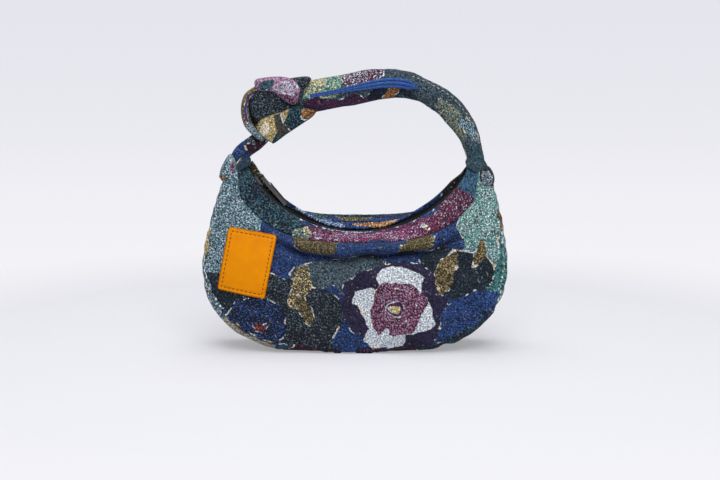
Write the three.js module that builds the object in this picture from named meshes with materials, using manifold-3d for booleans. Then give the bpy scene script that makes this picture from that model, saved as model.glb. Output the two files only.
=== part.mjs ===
// A small crescent hobo bag of woven tapestry cloth. A curved zip closes its mouth between two
// horns, a leather patch is sewn to its front, and one padded strap is tied in a knot.
// Millimetres, +Z up, +X to the right and -Y to the front, origin on the floor under the middle.
import * as THREE from "three";
import { mergeVertices } from "three/addons/utils/BufferGeometryUtils.js";
import Module from "manifold-3d";

const wasm = await Module();
wasm.setup();
const degrees = THREE.MathUtils.degToRad;
const lerp = THREE.MathUtils.lerp;

// Cloth thicknesses and the gap between pieces that are sewn or seated together
const CLOTH = 2.2;
const LINING = 1.0;
const TAPE = 0.7;
const FIT = 0.3;

// The zip line is an arc that sags between the horns, in the plane y = 0
const ZIP_X = 3;
const ZIP_Z = 200;
const ZIP_RADIUS = 104;
const LEFT_HORN_ANGLE = degrees(-63);
const RIGHT_HORN_ANGLE = degrees(62);

// Outline of the body, seen from the front
const BODY_WIDTH = 250;
const BELLY_HEIGHT = 68;
const BASE_LENGTH = 90;
const HORN_SIZE = 20;
const SIDE_FULLNESS = 0.35;

// Depths, from the middle plane out to the front or the back
const BASE_HALF_DEPTH = 33;
const HORN_HALF_DEPTH = 11;
const MOUTH_HALF_DEPTH = 22;
const PANEL_BULGE = 8;
const GUSSET_CROWN = 5;
const HORN_CROWN = 2;
const CROWN_FULLNESS = 1.4;

// How far the facing seams lie below the zip line, at mid mouth and beside the horns
const FRONT_SEAM_DROP = 5;
const BACK_SEAM_DROP = -9;
const SIDE_SEAM_DROP = 17;
const FRONT_SEAM_RISE = 0.7;
const BACK_SEAM_RISE = 0.85;
const SEAM_LIMIT = 0.35;

// Zip: chain, tapes, stops
const ZIP_GAP_HALF = 6;
const TAPE_SEAM = 3.5;
const TOOTH_PITCH = 2.8;
const TOOTH_REACH = 0.9;
const CHAIN_HALF_HEIGHT = 1.1;
const BEAD_INNER = 1.2;
const BEAD_OUTER = 1.8;
const CHAIN_PARTING = 2.1;
const PARTING_START = 0.5;
const PARTING_RUN = 0.8;
const STOP_LENGTH = 2.4;
const SLIDER_REST_ANGLE = degrees(-54);
const BOTTOM_STOP_ANGLE = degrees(47);

// Zip slider and pull
const SLIDER_LENGTH = 12;
const SLIDER_HALF_WIDTH = 5.1;
const SLIDER_PLATE = 1.1;
const SLIDER_ROUNDING = 1;
const SLIDER_FLANGE = 0.9;
const SLIDER_FLANGE_LENGTH = 8;
const SLIDER_POST_HALF = 0.8;
const SLIDER_POST_LENGTH = 2.8;
const SLIDER_CLEARANCE = 0.35;
const BRIDGE_HALF_LENGTH = 5;
const BRIDGE_HEIGHT = 4.3;
const BRIDGE_BAND = 1.2;
const BRIDGE_HALF_WIDTH = 1.2;
const PULL_LENGTH = 31;
const PULL_HALF_WIDTH = 3.2;
const PULL_THICKNESS = 1.5;
const PULL_BAR = 1.7;
const PULL_EYE = 5.4;
const PULL_CLEARANCE = 0.5;

// Strap: sewn ends, padded run, knot
const STRAP_WIDTH = 26;
const STRAP_THICKNESS = 14;
const STRAP_RISE = 19;
const STRAP_APEX = ZIP_Z + STRAP_RISE;
const STRAP_SHOULDER = 70;
const STRAP_LEAN = 10;
const STRAP_SWELL = 0.3;
const STRAP_SQUARENESS = 0.7;
const STRAP_ENTRY_ANGLE = degrees(10);
const STRAP_ENTRY_RUN = 25;
const STRAP_END_WIDTH = 13;
const STRAP_END_RADIUS = 5;
const STRAP_END_ROUNDING = 0.2;
const ROOT_LENGTH = 6;
const ROOT_SHOW = 0.6;
const ROOT_TAPER = 0.4;
const STUB_ANGLE = degrees(38);
const STUB_LEFT = 18.9;
const STUB_DROP = 27;
const STUB_BOW = 1.5;
const NECK_LENGTH = 21;

// The knot, with its outline as shares of its half width and half height
const KNOT_LEFT = 65;
const KNOT_DROP = 4;
const KNOT_X = ZIP_X - KNOT_LEFT;
const KNOT_Z = ZIP_Z - KNOT_DROP;
const KNOT_HALF_DEPTH = 17;
const KNOT_HALF_WIDTH = 30;
const KNOT_HALF_HEIGHT = 26;
const KNOT_PUFF = 0.75;
const KNOT_OUTLINE = {
  topLeft: [-0.9, 0.55],
  top: [-0.1, 0.85],
  strapSide: [0.95, 0.2],
  lowerTip: [0.1, -0.9],
  lowerLeft: [-0.85, -0.6],
};
const KNOT_BAND = 7;
const KNOT_BAND_HALF_DEPTH = 14.5;
const KNOT_BAND_FORWARD = 1.5;
const KNOT_BAND_START = degrees(80);
const KNOT_BAND_END = degrees(275);
const SLEEVE_LENGTH = 27;
const SLEEVE_MARGIN = 1.5;
const SLEEVE_HALF_DEPTH = 13.6;
const SLEEVE_TAPER = 0.25;

// Leather patch on the front panel
const PATCH_WIDTH = 40;
const PATCH_HEIGHT = 52;
const PATCH_X = -88;
const PATCH_Z = 75;
const PATCH_TURN = degrees(-11);
const PATCH_THICKNESS = 1.6;
const PATCH_CORNER = 3;
const PATCH_CORNER_TURN = degrees(78);

// Facets, and how close points lie to count as one
const OUTLINE_POINTS = 60;
const BODY_STATIONS = 30;
const HORN_STATIONS = 3;
const PARTING_STATIONS = 12;
const PANEL_ROWS = 7;
const GUSSET_ROWS = 8;
const FACING_ROWS = 2;
const STRAP_SIDES = 12;
const STRAP_STATIONS = 22;
const STUB_STATIONS = 5;
const KNOT_SIDES = 20;
const KNOT_LAYERS = 8;
const BAND_STATIONS = 12;
const BAND_SIDES = 8;
const SLEEVE_STATIONS = 3;
const PATCH_ROWS = 6;
const PATCH_COLUMNS = 5;
const CURVE_FACETS = 4;
const WELD = 1e-4;
const NO_AREA = 1e-6;

const TAPESTRY_BLUE = { color: 0x2f4668, roughness: 0.92, metalness: 0 };
const TAPESTRY_TEAL = { color: 0x4a7f82, roughness: 0.92, metalness: 0 };
const TAPESTRY_PLUM = { color: 0x7a3f63, roughness: 0.92, metalness: 0 };
const LINING_CLOTH = { color: 0x24303f, roughness: 0.85, metalness: 0 };
const ZIP_CLOTH = { color: 0x111114, roughness: 0.8, metalness: 0 };
const ZIP_NYLON = { color: 0x0c0c0e, roughness: 0.45, metalness: 0 };
const BLACK_METAL = { color: 0x141416, roughness: 0.25, metalness: 0.7 };
const ORANGE_LEATHER = { color: 0xd98508, roughness: 0.55, metalness: 0 };

const bag = new THREE.Group();

function addPiece(name, geometry, finish, parent = bag) {
  const mesh = new THREE.Mesh(geometry, new THREE.MeshStandardMaterial(finish));
  mesh.name = name;
  parent.add(mesh);
}

// Geometry helpers

function smooth(share) {
  const t = THREE.MathUtils.clamp(share, 0, 1);
  return t * t * (3 - 2 * t);
}

function spread(from, to, steps) {
  return Array.from({ length: steps + 1 }, (_, i) => lerp(from, to, i / steps));
}

function signedVolume(points, faces) {
  let volume = 0;
  for (let i = 0; i < faces.length; i += 3) {
    const [a, b, c] = [points[faces[i]], points[faces[i + 1]], points[faces[i + 2]]];
    volume += a.dot(b.clone().cross(c)) / 6;
  }
  return volume;
}

function closedMesh(points, faces) {
  if (signedVolume(points, faces) < 0) faces.reverse();
  const geometry = new THREE.BufferGeometry().setFromPoints(points);
  geometry.setIndex(faces);
  return geometry;
}

// A solid through rings of equal count. Its end caps join each point to the one facing it.
function loft(rings) {
  const count = rings[0].length;
  const points = rings.flat();
  const faces = [];
  for (let k = 0; k + 1 < rings.length; k++) {
    for (let i = 0; i < count; i++) {
      const a = k * count + i;
      const b = k * count + ((i + 1) % count);
      faces.push(a, b, b + count, a, b + count, a + count);
    }
  }
  const last = (rings.length - 1) * count;
  for (let i = 0; i + 1 < count / 2; i++) {
    const [a, b, c, d] = [i, i + 1, count - 2 - i, count - 1 - i];
    faces.push(a, c, b, a, d, c);
    faces.push(last + a, last + b, last + c, last + a, last + c, last + d);
  }
  return closedMesh(points, faces);
}

function toSolid(geometry) {
  const bare = geometry.clone();
  bare.deleteAttribute("normal");
  bare.deleteAttribute("uv");
  const merged = mergeVertices(bare, WELD);
  const mesh = new wasm.Mesh({
    numProp: 3,
    vertProperties: new Float32Array(merged.attributes.position.array),
    triVerts: new Uint32Array(merged.index.array),
  });
  return new wasm.Manifold(mesh);
}

function fromSolid(solid) {
  const mesh = solid.getMesh();
  const geometry = new THREE.BufferGeometry();
  geometry.setAttribute("position", new THREE.BufferAttribute(mesh.vertProperties, 3));
  geometry.setIndex(new THREE.BufferAttribute(mesh.triVerts, 1));
  return geometry;
}

function joined(geometries) {
  return fromSolid(geometries.map(toSolid).reduce((whole, next) => whole.add(next)));
}

// Body sections: each lies in a plane through the zip arc's axis, as radius and depth

function onBody(angle, radius, depth) {
  return new THREE.Vector3(
    ZIP_X + radius * Math.sin(angle), depth, ZIP_Z - radius * Math.cos(angle));
}

function hornShare(angle) {
  return Math.min(1, angle < 0 ? angle / LEFT_HORN_ANGLE : angle / RIGHT_HORN_ANGLE);
}

function makeOutline() {
  const half = BODY_WIDTH / 2;
  const left = onBody(LEFT_HORN_ANGLE, ZIP_RADIUS + HORN_SIZE, 0);
  const right = onBody(RIGHT_HORN_ANGLE, ZIP_RADIUS + HORN_SIZE, 0);
  const corner = half - BASE_LENGTH / 2;
  const shoulder = (horn) => lerp(horn.z, BELLY_HEIGHT, SIDE_FULLNESS);
  const swell = (horn) => lerp(BELLY_HEIGHT, horn.z, SIDE_FULLNESS);
  const path = new THREE.Path();
  path.moveTo(left.x, left.z);
  path.bezierCurveTo((left.x - half) / 2, shoulder(left), -half, swell(left), -half, BELLY_HEIGHT);
  path.absellipse(-BASE_LENGTH / 2, BELLY_HEIGHT, corner, BELLY_HEIGHT, Math.PI, 1.5 * Math.PI);
  path.lineTo(BASE_LENGTH / 2, 0);
  path.absellipse(BASE_LENGTH / 2, BELLY_HEIGHT, corner, BELLY_HEIGHT, 1.5 * Math.PI, 2 * Math.PI);
  path.bezierCurveTo(half, swell(right), (right.x + half) / 2, shoulder(right), right.x, right.z);
  return path.getPoints(OUTLINE_POINTS).map((p) => ({
    angle: Math.atan2(p.x - ZIP_X, ZIP_Z - p.y),
    radius: Math.hypot(p.x - ZIP_X, ZIP_Z - p.y),
  }));
}

const outline = makeOutline();

function outerRadius(angle) {
  const next = outline.findIndex((p) => p.angle >= angle);
  if (next === 0) return outline[0].radius;
  if (next < 0) return outline[outline.length - 1].radius;
  const [a, b] = [outline[next - 1], outline[next]];
  const straight = Math.sin(b.angle - a.angle) * a.radius * b.radius;
  const chord = a.radius * Math.sin(angle - a.angle) + b.radius * Math.sin(b.angle - angle);
  return straight / chord;
}

function gussetCrown(angle) {
  return lerp(GUSSET_CROWN, HORN_CROWN, hornShare(angle) ** 4);
}

function gussetHalfDepth(angle) {
  return lerp(BASE_HALF_DEPTH, HORN_HALF_DEPTH, hornShare(angle) ** 3);
}

function mouthHalfDepth(angle) {
  return lerp(MOUTH_HALF_DEPTH, HORN_HALF_DEPTH, hornShare(angle) ** 2);
}

function seamDrop(angle, side) {
  const drop = lerp(side.seamDrop, SIDE_SEAM_DROP, smooth(hornShare(angle) / side.seamRise));
  return Math.min(drop, SEAM_LIMIT * (outerRadius(angle) - ZIP_RADIUS));
}

const ROOT_ANGLE = ROOT_LENGTH / ZIP_RADIUS;
const ZIP_END_LEFT = LEFT_HORN_ANGLE + ROOT_ANGLE;
const ZIP_END_RIGHT = RIGHT_HORN_ANGLE - ROOT_ANGLE;
const LEFT_TIP = spread(LEFT_HORN_ANGLE, ZIP_END_LEFT, HORN_STATIONS);
const RIGHT_TIP = spread(ZIP_END_RIGHT, RIGHT_HORN_ANGLE, HORN_STATIONS);
const MOUTH_ANGLES = spread(ZIP_END_LEFT, ZIP_END_RIGHT, BODY_STATIONS);
const BODY_ANGLES = [...LEFT_TIP.slice(0, -1), ...MOUTH_ANGLES, ...RIGHT_TIP.slice(1)];

// Beyond the zip's ends the two facings close in on each other
function facingEdge(angle) {
  const past = Math.max(ZIP_END_LEFT - angle, angle - ZIP_END_RIGHT, 0);
  return lerp(ZIP_GAP_HALF, FIT / 2, smooth(past / ROOT_ANGLE));
}

// Moves a corner inwards so that both of its edges move by the same distance
function mitre(before, corner, after, distance) {
  const first = corner.clone().sub(before).normalize();
  const second = after.clone().sub(corner).normalize();
  const normalA = new THREE.Vector2(first.y, -first.x);
  const normalB = new THREE.Vector2(second.y, -second.x);
  const scale = distance / (1 + normalA.dot(normalB));
  return corner.clone().addScaledVector(normalA.add(normalB), scale);
}

// Corners of one side's section at a distance inside the outer face, as (radius, depth)
function corners(angle, side, inset) {
  const edge = new THREE.Vector2(ZIP_RADIUS - FIT - CLOTH, facingEdge(angle));
  const seam = new THREE.Vector2(ZIP_RADIUS + seamDrop(angle, side), mouthHalfDepth(angle));
  const hem = new THREE.Vector2(outerRadius(angle) - gussetCrown(angle), gussetHalfDepth(angle));
  const underside = new THREE.Vector2(outerRadius(angle), 0);
  return {
    edge: edge.clone().add(new THREE.Vector2(inset, 0)),
    seam: mitre(edge, seam, hem, inset),
    hem: mitre(seam, hem, underside.setX(hem.x), inset),
  };
}

function panelDepth(angle, from, to, share) {
  const bulge = PANEL_BULGE * (1 - hornShare(angle) ** 4) * Math.sin(Math.PI * share);
  return lerp(from.y, to.y, share) + bulge;
}

const FRONT = { sign: -1, seamDrop: FRONT_SEAM_DROP, seamRise: FRONT_SEAM_RISE, toothPhase: 0.25 };
const BACK = { sign: 1, seamDrop: BACK_SEAM_DROP, seamRise: BACK_SEAM_RISE, toothPhase: 0.75 };

function panelLine(angle, side, inset, rows, margin) {
  const { seam, hem } = corners(angle, side, inset);
  const trim = margin / hem.distanceTo(seam);
  return spread(trim, 1 - trim, rows).map((share) => {
    const radius = lerp(seam.x, hem.x, share);
    return onBody(angle, radius, side.sign * panelDepth(angle, seam, hem, share));
  });
}

function facingLine(angle, side, inset) {
  const { edge, seam } = corners(angle, side, inset);
  const sewn = TAPE_SEAM / seam.distanceTo(edge);
  const end = 1 - FIT / 2 / seam.distanceTo(edge);
  return [0, ...spread(sewn, end, FACING_ROWS)].map((share) => {
    const point = edge.clone().lerp(seam, share);
    return onBody(angle, point.x, side.sign * point.y);
  });
}

// The line where the zip tape ends, at a distance below the facing's underside
function underFacing(angle, side, distance) {
  const { edge, seam } = corners(angle, side, CLOTH);
  const along = seam.clone().sub(edge).normalize();
  const under = new THREE.Vector2(along.y, -along.x).multiplyScalar(distance);
  return edge.addScaledVector(along, TAPE_SEAM).add(under);
}

function gussetLine(angle, inset, rows) {
  const { hem } = corners(angle, FRONT, inset);
  const reach = 1 - FIT / 2 / hem.y;
  const floor = outerRadius(angle) - inset;
  return spread(-reach, reach, rows).map((share) => {
    const crowned = hem.x + CROWN_FULLNESS * gussetCrown(angle) * (1 - share ** 4);
    return onBody(angle, Math.min(crowned, floor), share * hem.y);
  });
}

function shell(angles, outerLine, innerLine) {
  return loft(angles.map((angle) => [...outerLine(angle), ...innerLine(angle).reverse()]));
}

// Outer body

function makeBody() {
  const panel = (side) => shell(
    BODY_ANGLES,
    (angle) => panelLine(angle, side, 0, PANEL_ROWS, FIT / 2),
    (angle) => panelLine(angle, side, CLOTH, PANEL_ROWS, FIT / 2));
  const facing = (side) => shell(
    BODY_ANGLES,
    (angle) => facingLine(angle, side, 0),
    (angle) => facingLine(angle, side, CLOTH));
  addPiece("front_panel", panel(FRONT), TAPESTRY_BLUE);
  addPiece("back_panel", panel(BACK), TAPESTRY_BLUE);
  addPiece("front_facing", facing(FRONT), TAPESTRY_PLUM);
  addPiece("back_facing", facing(BACK), TAPESTRY_PLUM);
  addPiece("gusset", shell(
    BODY_ANGLES,
    (angle) => gussetLine(angle, 0, GUSSET_ROWS),
    (angle) => gussetLine(angle, CLOTH, GUSSET_ROWS)), TAPESTRY_TEAL);
}

// Lining: a loose inner bag that hangs from the zip tapes and stops short of the horns

const LINING_INSET = CLOTH + FIT + TAPE + FIT;

function liningLine(angle, side, inset) {
  const top = underFacing(angle, side, inset - CLOTH);
  return [
    onBody(angle, top.x, side.sign * top.y),
    ...panelLine(angle, side, inset, PANEL_ROWS - 2, FIT / 2),
  ];
}

function makeLining() {
  const angles = MOUTH_ANGLES;
  const half = (side) => shell(
    angles,
    (angle) => liningLine(angle, side, LINING_INSET),
    (angle) => liningLine(angle, side, LINING_INSET + LINING));
  addPiece("front_lining", half(FRONT), LINING_CLOTH);
  addPiece("back_lining", half(BACK), LINING_CLOTH);
  addPiece("gusset_lining", shell(
    angles,
    (angle) => gussetLine(angle, LINING_INSET, GUSSET_ROWS - 2),
    (angle) => gussetLine(angle, LINING_INSET + LINING, GUSSET_ROWS - 2)), LINING_CLOTH);
}

// Zip tapes lie flat beside the chain and then follow the underside of the facing

const SLIDER_HALF_ANGLE = SLIDER_LENGTH / 2 / ZIP_RADIUS;

// How far the two halves of the chain stand apart: only inside the closed slider and past it
function parting(angle) {
  const along = (SLIDER_REST_ANGLE - angle) / SLIDER_HALF_ANGLE;
  return CHAIN_PARTING * smooth((along + PARTING_START) / PARTING_RUN);
}

function tapeLine(angle, side, depth) {
  const inner = BEAD_OUTER + FIT + parting(angle);
  const sewn = underFacing(angle, side, FIT + depth);
  return [
    onBody(angle, ZIP_RADIUS + depth, side.sign * inner),
    onBody(angle, ZIP_RADIUS + depth, side.sign * facingEdge(angle)),
    onBody(angle, sewn.x, side.sign * sewn.y),
  ];
}

function makeTapes() {
  const partingAngles = spread(
    SLIDER_REST_ANGLE - SLIDER_HALF_ANGLE, SLIDER_REST_ANGLE + SLIDER_HALF_ANGLE, PARTING_STATIONS);
  const angles = [...MOUTH_ANGLES, ...partingAngles].sort((a, b) => a - b);
  for (const [name, side] of [["front_zip_tape", FRONT], ["back_zip_tape", BACK]]) {
    addPiece(name, shell(
      angles,
      (angle) => tapeLine(angle, side, TAPE),
      (angle) => tapeLine(angle, side, 0)), ZIP_CLOTH);
  }
}

// One half of the chain: a bead along the tape with a row of teeth that mesh with the other half

const CHAIN_START = SLIDER_REST_ANGLE - SLIDER_HALF_ANGLE - FIT / ZIP_RADIUS;
const CHAIN_END = BOTTOM_STOP_ANGLE - (STOP_LENGTH / 2 + FIT) / ZIP_RADIUS;

function chainRing(angle, side, reach) {
  const shift = parting(angle);
  const line = [reach, BEAD_INNER, BEAD_OUTER].map((depth) => side.sign * (depth + shift));
  const top = line.map((depth) => onBody(angle, ZIP_RADIUS - CHAIN_HALF_HEIGHT, depth));
  const bottom = line.map((depth) => onBody(angle, ZIP_RADIUS + CHAIN_HALF_HEIGHT, depth));
  return [...top, ...bottom.reverse()];
}

function makeChainHalf(side) {
  const pitch = TOOTH_PITCH / ZIP_RADIUS;
  const tooth = (TOOTH_PITCH / 2 - FIT) / ZIP_RADIUS;
  const rings = [chainRing(CHAIN_START, side, BEAD_INNER)];
  for (let start = CHAIN_START + pitch * side.toothPhase; start + pitch < CHAIN_END; start += pitch) {
    rings.push(chainRing(start, side, BEAD_INNER));
    rings.push(chainRing(start, side, -TOOTH_REACH));
    rings.push(chainRing(start + tooth, side, -TOOTH_REACH));
    rings.push(chainRing(start + tooth, side, BEAD_INNER));
  }
  rings.push(chainRing(CHAIN_END, side, BEAD_INNER));
  return withoutFlatFaces(loft(rings));
}

// Drops faces with no area, where two rings share an edge
function withoutFlatFaces(geometry) {
  const merged = mergeVertices(geometry, WELD);
  const index = merged.index.array;
  const corner = (i) => new THREE.Vector3().fromBufferAttribute(merged.attributes.position, index[i]);
  const kept = [];
  for (let i = 0; i < index.length; i += 3) {
    const area = new THREE.Triangle(corner(i), corner(i + 1), corner(i + 2)).getArea();
    if (area > NO_AREA) kept.push(index[i], index[i + 1], index[i + 2]);
  }
  merged.setIndex(kept);
  return merged;
}

function makeChain() {
  addPiece("front_zip_teeth", makeChainHalf(FRONT), ZIP_NYLON);
  addPiece("back_zip_teeth", makeChainHalf(BACK), ZIP_NYLON);
}

function stopBlock(middle, near, far) {
  const half = STOP_LENGTH / 2 / ZIP_RADIUS;
  const height = CHAIN_HALF_HEIGHT + FIT;
  return loft([middle - half, middle + half].map((angle) => [
    onBody(angle, ZIP_RADIUS - height, near),
    onBody(angle, ZIP_RADIUS - height, far),
    onBody(angle, ZIP_RADIUS + height, far),
    onBody(angle, ZIP_RADIUS + height, near),
  ]));
}

function makeStops() {
  const top = CHAIN_START - (STOP_LENGTH / 2 + FIT) / ZIP_RADIUS;
  const near = BEAD_INNER + parting(top);
  const far = BEAD_OUTER + parting(top);
  addPiece("front_top_stop", stopBlock(top, -near, -far), ZIP_NYLON);
  addPiece("back_top_stop", stopBlock(top, near, far), ZIP_NYLON);
  addPiece("bottom_stop", stopBlock(BOTTOM_STOP_ANGLE, -BEAD_OUTER, BEAD_OUTER), ZIP_NYLON);
}

// Slider, in its own frame: x along the zip, y across it, z away from the bag

function plateShape() {
  const half = SLIDER_LENGTH / 2;
  const waist = SLIDER_HALF_WIDTH - SLIDER_ROUNDING;
  const end = half - SLIDER_ROUNDING;
  const shape = new THREE.Shape();
  shape.moveTo(-half, -waist);
  shape.quadraticCurveTo(-end, -SLIDER_HALF_WIDTH, -half / 2, -SLIDER_HALF_WIDTH);
  shape.lineTo(end, -SLIDER_HALF_WIDTH);
  shape.quadraticCurveTo(half, -SLIDER_HALF_WIDTH, half, -waist);
  shape.lineTo(half, waist);
  shape.quadraticCurveTo(half, SLIDER_HALF_WIDTH, end, SLIDER_HALF_WIDTH);
  shape.lineTo(-half / 2, SLIDER_HALF_WIDTH);
  shape.quadraticCurveTo(-end, SLIDER_HALF_WIDTH, -half, waist);
  return shape;
}

function slab(shape, bottom, thickness) {
  const geometry = new THREE.ExtrudeGeometry(
    shape, { depth: thickness, bevelEnabled: false, curveSegments: CURVE_FACETS });
  return geometry.translate(0, 0, bottom);
}

function block(length, width, bottom, top, x, y) {
  return new THREE.BoxGeometry(length, width, top - bottom).translate(x, y, (bottom + top) / 2);
}

const PLATE_GAP = CHAIN_HALF_HEIGHT + SLIDER_CLEARANCE;
const SLIDER_TOP = PLATE_GAP + SLIDER_PLATE;

function makeSliderBody() {
  const overlap = SLIDER_PLATE / 2;
  const pieces = [
    slab(plateShape(), PLATE_GAP, SLIDER_PLATE),
    slab(plateShape(), -PLATE_GAP - SLIDER_PLATE, SLIDER_PLATE),
    block(SLIDER_POST_LENGTH, 2 * SLIDER_POST_HALF, -PLATE_GAP - overlap, PLATE_GAP + overlap,
      FIT + SLIDER_POST_LENGTH / 2 - SLIDER_LENGTH / 2, 0),
  ];
  for (const y of [1, -1].map((sign) => sign * (SLIDER_HALF_WIDTH - SLIDER_FLANGE / 2))) {
    const flange = (bottom, top) => block(SLIDER_FLANGE_LENGTH, SLIDER_FLANGE, bottom, top, 0, y);
    pieces.push(flange(SLIDER_CLEARANCE, PLATE_GAP + overlap));
    pieces.push(flange(-PLATE_GAP - overlap, -TAPE - SLIDER_CLEARANCE));
  }
  return joined(pieces);
}

const PULL_PIVOT = SLIDER_TOP + FIT + BRIDGE_HEIGHT - BRIDGE_BAND - PULL_BAR / 2 - PULL_CLEARANCE;

function makeBridge() {
  const inner = BRIDGE_HALF_LENGTH - BRIDGE_BAND;
  const shape = new THREE.Shape();
  shape.moveTo(BRIDGE_HALF_LENGTH, 0);
  shape.absellipse(0, 0, BRIDGE_HALF_LENGTH, BRIDGE_HEIGHT, 0, Math.PI);
  shape.lineTo(-inner, 0);
  shape.absellipse(0, 0, inner, BRIDGE_HEIGHT - BRIDGE_BAND, Math.PI, 0, true);
  const geometry = new THREE.ExtrudeGeometry(
    shape, { depth: 2 * BRIDGE_HALF_WIDTH, bevelEnabled: false, curveSegments: 2 * CURVE_FACETS });
  geometry.translate(0, 0, -BRIDGE_HALF_WIDTH).rotateX(Math.PI / 2);
  return geometry.translate(0, 0, SLIDER_TOP + FIT);
}

function makePull() {
  const eyeEnd = PULL_BAR / 2 + PULL_EYE;
  const eyeHalf = BRIDGE_HALF_WIDTH + PULL_CLEARANCE;
  const tip = PULL_HALF_WIDTH / 2;
  const shape = new THREE.Shape();
  shape.moveTo(-PULL_BAR / 2, -PULL_HALF_WIDTH + tip / 2);
  shape.lineTo(0, -PULL_HALF_WIDTH);
  shape.lineTo(PULL_LENGTH - tip, -PULL_HALF_WIDTH);
  shape.quadraticCurveTo(PULL_LENGTH, -PULL_HALF_WIDTH, PULL_LENGTH, -PULL_HALF_WIDTH + tip);
  shape.lineTo(PULL_LENGTH, PULL_HALF_WIDTH - tip);
  shape.quadraticCurveTo(PULL_LENGTH, PULL_HALF_WIDTH, PULL_LENGTH - tip, PULL_HALF_WIDTH);
  shape.lineTo(0, PULL_HALF_WIDTH);
  shape.lineTo(-PULL_BAR / 2, PULL_HALF_WIDTH - tip / 2);
  const eye = new THREE.Path();
  eye.moveTo(PULL_BAR / 2, -eyeHalf);
  eye.lineTo(eyeEnd, -eyeHalf);
  eye.lineTo(eyeEnd, eyeHalf);
  eye.lineTo(PULL_BAR / 2, eyeHalf);
  shape.holes.push(eye);
  return slab(shape, -PULL_THICKNESS / 2, PULL_THICKNESS);
}

// The pull rests on the chain, which curves up towards the pull's tip
function pullLift() {
  const rise = ZIP_RADIUS - Math.sqrt(ZIP_RADIUS ** 2 - PULL_LENGTH ** 2);
  const tip = rise + CHAIN_HALF_HEIGHT + FIT + PULL_THICKNESS / 2;
  return Math.max(0, Math.atan2(tip - PULL_PIVOT, PULL_LENGTH));
}

function makeSlider() {
  const slider = new THREE.Group();
  slider.position.copy(onBody(SLIDER_REST_ANGLE, ZIP_RADIUS, 0));
  slider.rotation.y = -SLIDER_REST_ANGLE;
  addPiece("slider_body", makeSliderBody(), BLACK_METAL, slider);
  addPiece("slider_bridge", makeBridge(), BLACK_METAL, slider);
  const pull = new THREE.Group();
  pull.position.z = PULL_PIVOT;
  pull.rotation.y = -pullLift();
  addPiece("pull_tab", makePull(), BLACK_METAL, pull);
  slider.add(pull);
  bag.add(slider);
}

// Strap: its two ends turn about one line through the tops of the horns

function strapPivot(angle) {
  const outward = Math.sign(angle);
  const normal = new THREE.Vector3(outward * Math.cos(angle), 0, outward * Math.sin(angle));
  const lift = STRAP_END_RADIUS + FIT + ROOT_SHOW + Math.abs(normal.x) * STRAP_END_WIDTH / 2;
  return onBody(angle, ZIP_RADIUS, 0).addScaledVector(normal, lift);
}

const LEFT_PIVOT = strapPivot(LEFT_HORN_ANGLE);
const RIGHT_PIVOT = strapPivot(RIGHT_HORN_ANGLE);
const PIVOT_LINE = RIGHT_PIVOT.clone().sub(LEFT_PIVOT).normalize();
const PIVOT_UP = new THREE.Vector3(-PIVOT_LINE.z, 0, PIVOT_LINE.x);
const DEPTH = new THREE.Vector3(0, 1, 0);

function flatRing(centre, across, halfWidth, halfDepth, sides = STRAP_SIDES) {
  const squared = (value) => Math.sign(value) * Math.abs(value) ** STRAP_SQUARENESS;
  return Array.from({ length: sides }, (_, i) => {
    const turn = 2 * Math.PI * (i + 0.5) / sides;
    return centre.clone()
      .addScaledVector(across, halfWidth * squared(Math.cos(turn)))
      .addScaledVector(DEPTH, halfDepth * squared(Math.sin(turn)));
  });
}

// The sewn end fills the horn's tip and comes out of it to a flat top under the pivot
function makeRoot(tip, pivot) {
  const inset = CLOTH + FIT;
  const tipRing = (at) => {
    const line = (side) => {
      const { edge, seam, hem } = corners(at, side, inset);
      return [edge.setY(FIT), seam, hem].map((p) => onBody(at, p.x, side.sign * p.y));
    };
    return [...line(FRONT), ...line(BACK).reverse()];
  };
  const top = pivot.clone().addScaledVector(PIVOT_UP, -STRAP_END_RADIUS - FIT);
  const inner = tip[0] < 0 ? 1 : -1;
  const corner = (along, depth) => top.clone()
    .addScaledVector(PIVOT_LINE, inner * along * STRAP_END_WIDTH / 2)
    .addScaledVector(DEPTH, depth * STRAP_END_RADIUS);
  const topRing = [
    corner(1, -ROOT_TAPER), corner(ROOT_TAPER, -1), corner(-1, -1),
    corner(-1, 1), corner(ROOT_TAPER, 1), corner(1, ROOT_TAPER)];
  const rings = tip.map(tipRing);
  return loft(inner > 0 ? [topRing, ...rings] : [...rings, topRing]);
}

// The free strap starts with a round end on the pivot line, so that it turns on its root
function roundEnd(pivot) {
  return spread(STRAP_END_ROUNDING, 1 - STRAP_END_ROUNDING, 2).map((share) => {
    const turn = share * Math.PI / 2;
    const centre = pivot.clone().addScaledVector(PIVOT_UP, -STRAP_END_RADIUS * Math.cos(turn));
    return flatRing(centre, PIVOT_LINE, STRAP_END_WIDTH / 2, STRAP_END_RADIUS * Math.sin(turn));
  });
}

function sweep(points, endDirection, widthAt, thicknessAt, steps) {
  const curve = new THREE.CatmullRomCurve3(points);
  return spread(0, 1, steps).map((share) => {
    const inside = share === 1 ? endDirection : curve.getTangentAt(share);
    const along = share === 0 ? PIVOT_UP : inside;
    const across = DEPTH.clone().cross(along).normalize();
    return flatRing(curve.getPointAt(share), across, widthAt(share) / 2, thicknessAt(share) / 2);
  });
}

const KNOT_ENTRY = new THREE.Vector3(KNOT_X + KNOT_HALF_WIDTH, 0, KNOT_Z + KNOT_HALF_HEIGHT / 2);
const OUT_OF_KNOT = new THREE.Vector3(Math.cos(STRAP_ENTRY_ANGLE), 0, Math.sin(STRAP_ENTRY_ANGLE));

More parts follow.
